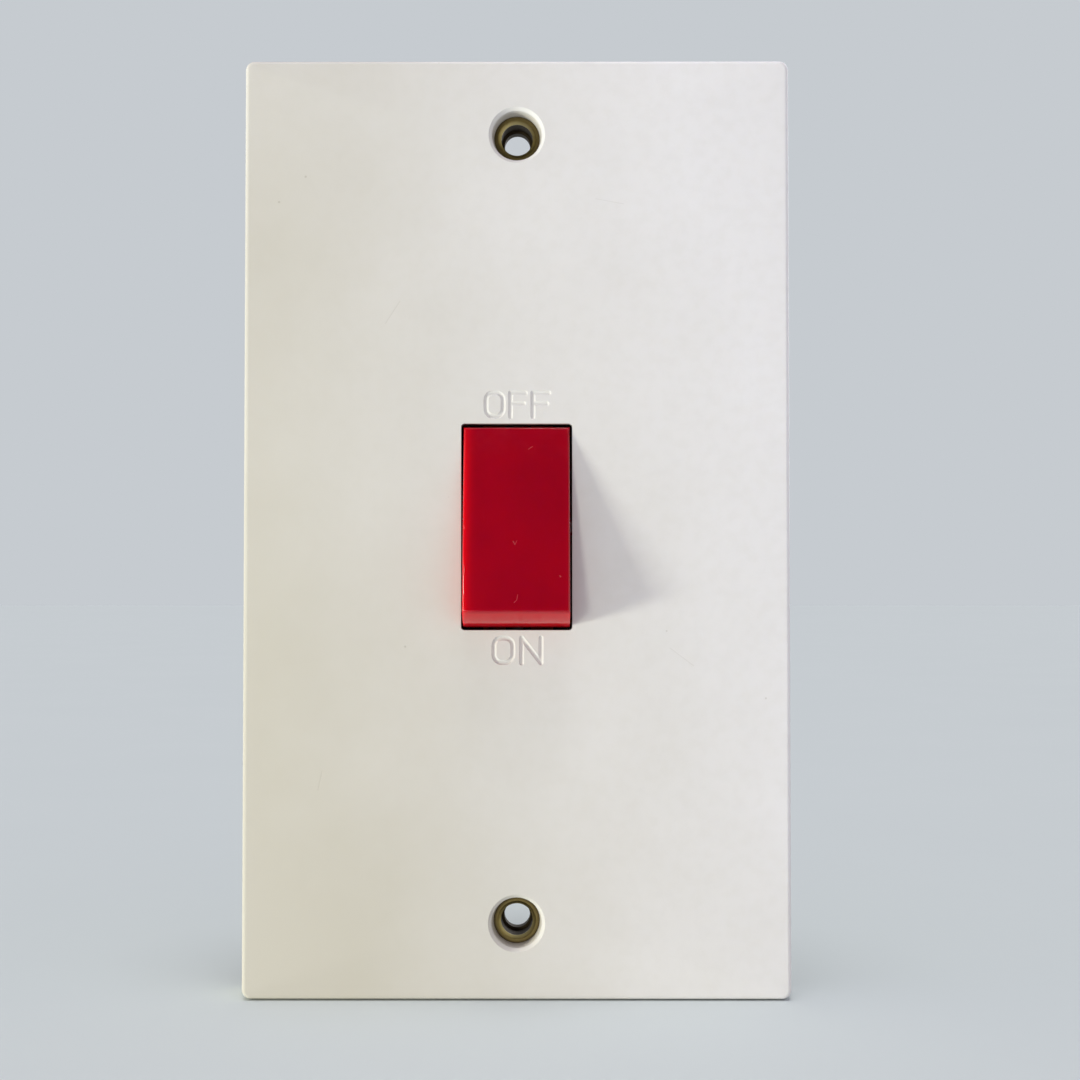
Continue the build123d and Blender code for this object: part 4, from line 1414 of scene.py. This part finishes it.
@dataclass
class PlungerSpring:
    """The coil spring behind a plunger, wound from round wire.

    Attributes:
        pole: The pole that it belongs to.
        start: The middle of its fixed end.
        axis: The direction to its other end.
        length: Its length between wire middles.
        turns: How many turns it has.
        coil_radius: The radius to the middle of the wire.
        wire_radius: The radius of the wire.
        travel: How far the plunger pushes it together, which is not used.
    """

    pole: str
    start: Vector
    axis: Vector
    length: float
    turns: float = 7.0
    coil_radius: float = 0.97 * MM
    wire_radius: float = 0.15 * MM
    travel: float = 1.5 * MM

    def build(self, tool: NodeTool, material: bpy.types.Material) -> bpy.types.Object:
        """Winds the spring and lays it along its axis.

        Args:
            tool: The tree that winds it.
            material: Its finish.

        Returns:
            The finished spring.
        """
        values: dict[str, object] = {
            "Turns": self.turns,
            "Coil Radius": self.coil_radius,
            "Length": self.length,
            "Wire Radius": self.wire_radius,
        }
        mesh = tool.run([Vector()], values, material)
        turn = Vector((0.0, 0.0, 1.0)).rotation_difference(self.axis).to_matrix().to_4x4()
        mesh.transform(Matrix.Translation(self.start) @ turn)
        piece = new_piece(f"{self.pole}_spring_wire", mesh)
        shade(piece, WIRE_EDGE, material)
        hand_over(piece, f"{self.pole}_plunger_spring", "rocker")
        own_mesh(piece)
        return piece


@dataclass
class Fasteners:
    """Every screw of the switch, placed where its solids are.

    Attributes:
        sets: The kinds of screws.
    """

    sets: tuple[ScrewSet, ...] = (
        ScrewSet(
            "terminal_screws", "terminal_grub_screws", HeadStyle.GRUB,
            radius=2.4 * MM, length=6.5 * MM, pitch=0.7 * MM, seed=3,
        ),
        ScrewSet(
            "earth_terminal_screws", "earth_grub_screws", HeadStyle.GRUB,
            radius=1.9 * MM, length=5.0 * MM, pitch=0.6 * MM, seed=8,
        ),
        ScrewSet(
            "plate_screws", "plate_cheese_screws", HeadStyle.CHEESE,
            radius=1.3 * MM, length=6.0 * MM, pitch=0.6 * MM, seed=5,
            head_radius=2.6 * MM, head_height=1.8 * MM,
        ),
        ScrewSet(
            "carrier_screws", "carrier_cheese_screws", HeadStyle.CHEESE,
            radius=1.4 * MM, length=14.0 * MM, pitch=0.7 * MM, seed=6,
            head_radius=2.7 * MM, head_height=1.6 * MM, facing=-1,
        ),
    )

    def build(self, nodes: dict[str, bpy.types.Object]) -> list[bpy.types.Object]:
        """Makes all the screws.

        Args:
            nodes: The nodes by name.

        Returns:
            One piece for each set.
        """
        sizes = ("Core Radius", "Thread Start", "Thread Length", "Pitch", "Ridge", "Turn")
        inputs = {"Body": "Object"} | dict.fromkeys(sizes, "Float") | {"Seed": "Int"}
        tool = NodeTool("threaded_screws", inputs, screw_tree)
        zinc = ZINC.material()
        return [screws.build(nodes, tool, zinc) for screws in self.sets]


@dataclass
class InnerWorks:
    """The poles, the black mouldings and the metalwork behind the plate.

    Attributes:
        spring_start: How far behind the pivot each spring starts, along the rocker's axis.
        spring_end: How far behind the pivot it ends.
        pole_x: How far each pole is from the middle.
    """

    spring_start: float = -3.3 * MM
    spring_end: float = 4.0 * MM
    pole_x: float = 3.9 * MM

    def springs(self, material: bpy.types.Material) -> list[bpy.types.Object]:
        """Winds both plunger springs.

        Args:
            material: Their finish.

        Returns:
            The springs.
        """
        sizes = ("Turns", "Coil Radius", "Length", "Wire Radius")
        tool = NodeTool("wound_spring", dict.fromkeys(sizes, "Float"), coil_tree)
        axis = Vector((0.0, math.cos(TILT), -math.sin(TILT)))
        length = self.spring_end - self.spring_start
        made = []
        for pole, side in zip(POLES, (-1, 1)):
            start = Vector((side * self.pole_x, PIVOT_Y, 0.0)) + axis * self.spring_start
            made.append(PlungerSpring(pole, start, axis, length).build(tool, material))
        return made

    def build(self, nodes: dict[str, bpy.types.Object]) -> list[bpy.types.Object]:
        """Dresses everything behind the plate.

        Args:
            nodes: The nodes by name.

        Returns:
            The pieces that were made.
        """
        black = ("black_moulding", MouldedBlack().material())
        brass = ("terminal_brass", TERMINAL_BRASS.material())
        copper = ("copper", COPPER.material())
        silver = ("silver", SILVER.material())
        nylon = ("nylon", Nylon().material())
        plan = [
            ("switch_base", "black_switch_base", FIXED_BODY, *black),
            ("rocker_carrier", "black_carrier", FIXED_BODY, *black),
            ("earth_strap", "brass_earth_strap", FIXED_BODY, *brass),
            ("earth_terminal", "brass_earth_terminal", FIXED_BODY, *brass),
        ]
        for pole in POLES:
            for end in ("load", "supply"):
                part = f"{pole}_{end}"
                plan += [
                    (f"{part}_terminal", f"{part}_brass_tunnel", FIXED_BODY, *brass),
                    (f"{part}_strip", f"{part}_copper", FIXED_BODY, *copper),
                ]
            arm, plunger = f"{pole}_arm", f"{pole}_plunger"
            plan += [
                (f"{pole}_fixed_contact", f"{pole}_fixed_silver", FIXED_BODY, *silver),
                (f"{pole}_moving_contact", f"{pole}_moving_silver", arm, *silver),
                (f"{pole}_contact_arm", f"{pole}_copper_arm", arm, *copper),
                (plunger, f"{pole}_nylon_plunger", plunger, *nylon),
            ]
        made = [SmoothedPiece(*row).build(nodes) for row in plan]
        return made + self.springs(SPRING_STEEL.material())


@dataclass
class FrontMetalAndRocker:
    """The brass bushes in the fixing holes, and the red rocker."""

    def build(self, nodes: dict[str, bpy.types.Object]) -> list[bpy.types.Object]:
        """Dresses the pieces that show in the plate.

        Args:
            nodes: The nodes by name.

        Returns:
            The pieces.
        """
        brass = ("bush_brass", BushBrass().material(), BUSH_EDGE)
        red = ("red_rocker", PolishedRed().material(), ROCKER_EDGE)
        plan = (
            ("upper_screw_bush", "upper_brass_bush", FIXED_BODY, *brass),
            ("lower_screw_bush", "lower_brass_bush", FIXED_BODY, *brass),
            ("rocker", "red_rocker_tile", "rocker", *red),
        )
        return [SmoothedPiece(*row).build(nodes) for row in plan]


def placed(
    name: str, data: bpy.types.ID, place: Sequence[float], aim: Sequence[float]
) -> bpy.types.Object:
    """Puts a lamp or a camera into the scene, turned to a point.

    Args:
        name: Its name.
        data: Its data.
        place: Where it stands.
        aim: The point that it faces.

    Returns:
        Its object.
    """
    thing = bpy.data.objects.new(name, data)
    thing.location = place
    towards = Vector(aim) - Vector(place)
    thing.rotation_euler = towards.to_track_quat("-Z", "Y").to_euler()
    bpy.context.scene.collection.objects.link(thing)
    return thing


@dataclass
class Lamp:
    """One soft lamp that faces a point.

    Attributes:
        name: Its name.
        place: Where it is.
        aim: What it faces.
        size: Its width and height.
        power: Its power in watts.
        colour: Its colour.
        mirrored: Whether glossy surfaces mirror it.
    """

    name: str
    place: tuple[float, float, float]
    aim: tuple[float, float, float]
    size: tuple[float, float]
    power: float
    colour: tuple[float, float, float] = (1.0, 1.0, 1.0)
    mirrored: bool = True

    def build(self, floor: bpy.types.Object) -> None:
        """Adds the lamp to the scene.

        Args:
            floor: The floor, which the lamp neither lights nor is cut off by.
        """
        data = bpy.data.lights.new(self.name, "AREA")
        data.shape = "RECTANGLE"
        data.size, data.size_y = self.size
        data.energy = self.power
        data.color = self.colour
        lamp = placed(self.name, data, self.place, self.aim)
        lamp.visible_camera = False
        lamp.visible_glossy = self.mirrored
        spared = bpy.data.collections.new(f"spared_by_{self.name}")
        spared.objects.link(floor)
        spared.collection_objects[0].light_linking.link_state = "EXCLUDE"
        lamp.light_linking.receiver_collection = spared
        lamp.light_linking.blocker_collection = spared


@dataclass
class Skylight:
    """Parallel light from above, which lights the floor and grazes the plate.

    Attributes:
        strength: Its strength in watts for each square metre.
        lean: How far it comes from the front, in degrees off straight down.
        spread: How wide its source looks, in degrees.
    """

    strength: float = 1.20
    lean: float = 7.0
    spread: float = 24.0

    def build(self) -> None:
        """Adds the light to the scene."""
        data = bpy.data.lights.new("skylight", "SUN")
        data.energy = self.strength
        data.angle = math.radians(self.spread)
        light = bpy.data.objects.new("skylight", data)
        light.rotation_euler = (math.radians(self.lean), 0.0, 0.0)
        bpy.context.scene.collection.objects.link(light)


@dataclass
class Studio:
    """The pale floor, the pale surroundings and the lamps.

    Attributes:
        floor_z: The height of the floor, at the lower edge of the plate.
        backdrop: The colour that the camera and mirrors see round the part.
        room: The dim colour that mirrors see straight in front of the plate.
        ambient: The colour and strength of the light from the room in front.
        behind: The colour and strength of the light from behind the plate.
        skylight: The light from above.
        lamps: The lamps.
    """

    floor_z: float = -72.0 * MM
    backdrop: tuple[float, ...] = srgb(198, 203, 208)
    room: tuple[float, ...] = srgb(58, 60, 64)
    ambient: tuple[float, ...] = (0.345, 0.308, 0.393, 1.0)
    behind: tuple[float, ...] = (0.50, 0.50, 0.51, 1.0)
    skylight: Skylight = field(default_factory=Skylight)
    lamps: tuple[Lamp, ...] = (
        Lamp(
            "low_window", (-0.600, -0.224, -0.112), (0.0, 0.0, -0.010), (0.105, 0.105), 3.65,
            WINDOW_LIGHT, mirrored=False,
        ),
        Lamp(
            "high_window", (-0.46, -0.78, -0.02), (0.0, 0.0, 0.0), (0.16, 0.16), 1.70,
            WINDOW_LIGHT,
        ),
        Lamp(
            "fill", (0.30, -0.31, -0.02), (0.0, 0.0, -0.01), (0.40, 0.40), 0.18,
            (0.98, 0.99, 1.0),
        ),
        Lamp(
            "back_light", (0.45, 0.55, 0.42), (0.0, 0.0, 0.0), (0.90, 0.90), 3.2,
            (1.0, 1.0, 0.99),
        ),
    )

    def floor(self) -> bpy.types.Object:
        """Lays the floor.

        Returns:
            The floor, which is not part of the switch.
        """
        reach = 3.0
        around = ((-reach, -reach), (reach, -reach), (reach, reach), (-reach, reach))
        corners = [(x, y, self.floor_z) for x, y in around]
        mesh = plain_mesh("floor", corners, faces=[(0, 1, 2, 3)])
        floor = new_piece("floor", mesh)
        surface = Surface("pale_floor")
        mottle = surface.noise(60 * MM, 3.0)
        colour = surface.blend(mottle * 0.4, srgb(221, 230, 228), srgb(215, 224, 223))
        mesh.materials.append(surface.finish(Base_Color=colour, Roughness=0.85 + mottle * 0.1))
        return floor

    def sky(self, graph: Graph, share: Term, first: Link, second: Link) -> bpy.types.NodeSocket:
        """Makes a background of two colours.

        Args:
            graph: The world's graph.
            share: 0 for the first colour and 1 for the second.
            first: The first colour.
            second: The second colour.

        Returns:
            The background.
        """
        colour = graph.node("ShaderNodeMix", {0: share, 6: first, 7: second}, data_type="RGBA")
        glow = graph.node("ShaderNodeBackground", {"Color": colour.outputs[2], "Strength": 1.0})
        return glow.outputs[0]

    def surroundings(self) -> None:
        """Sets the world: even light, and what mirrors and the camera see of it.

        The camera sees the plain backdrop all round. Mirrors see it too, but with the dim
        room straight in front of the plate, from which the picture is taken.
        """
        world = bpy.data.worlds.new("studio")
        bpy.context.scene.world = world
        world.use_nodes = True
        graph = Graph(world.node_tree)
        graph.tree.nodes.clear()
        path = graph.node("ShaderNodeLightPath")
        camera = Term(graph, path.outputs["Is Camera Ray"])
        mirrored = Term(graph, path.outputs["Is Glossy Ray"])
        through = Term(graph, path.outputs["Is Transmission Ray"])
        seen = camera.at_least(mirrored).at_least(through)
        way = graph.node("ShaderNodeTexCoord").outputs["Generated"]
        depth = Term(graph, graph.node("ShaderNodeSeparateXYZ", {0: way}).outputs[1])
        front = depth.ramp(-0.55, -0.85) * mirrored
        rear = depth.ramp(-0.15, 0.45)
        glow = self.sky(graph, rear, self.ambient, self.behind)
        view = self.sky(graph, front, self.backdrop, self.room)
        both = graph.node("ShaderNodeMixShader", {0: seen, 1: glow, 2: view})
        graph.node("ShaderNodeOutputWorld", {0: both.outputs[0]})

    def build(self) -> None:
        """Builds the whole studio."""
        floor = self.floor()
        self.surroundings()
        self.skylight.build()
        for lamp in self.lamps:
            lamp.build(floor)
        bpy.context.scene.view_settings.view_transform = "Standard"


@dataclass
class PhotoCamera:
    """The camera, as near and as square to the plate as the photograph's.

    Attributes:
        place: Where it stands.
        aim: The point of the plate in the middle of the picture.
        lens: The focal length for a sensor 36 mm wide.
    """

    place: tuple[float, float, float] = (4.0 * MM, -238.0 * MM, -7.4 * MM)
    aim: tuple[float, float, float] = (3.57 * MM, FRONT_Y, -2.03 * MM)
    lens: float = 50.2

    def build(self) -> bpy.types.Object:
        """Adds the camera and makes it the scene's.

        Returns:
            The camera.
        """
        data = bpy.data.cameras.new("photo_camera")
        data.lens = self.lens
        data.sensor_width = 36.0
        data.clip_start = 0.01
        camera = placed("photo_camera", data, self.place, self.aim)
        bpy.context.scene.camera = camera
        return camera


def main() -> None:
    """Builds the switch, the studio and the camera."""
    logging.basicConfig(level=logging.INFO, format="%(name)s: %(message)s")
    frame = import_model()
    nodes = frame["nodes"]
    pieces = [FrontPlate().build(nodes)]
    pieces += FrontMetalAndRocker().build(nodes)
    pieces += InnerWorks().build(nodes)
    pieces += Fasteners().build(nodes)
    for piece in pieces:
        log.info("%s: %d faces", piece.name, len(piece.data.polygons))
    Studio().build()
    PhotoCamera().build()
    bpy.context.view_layer.update()


if __name__ == "__main__":
    main()
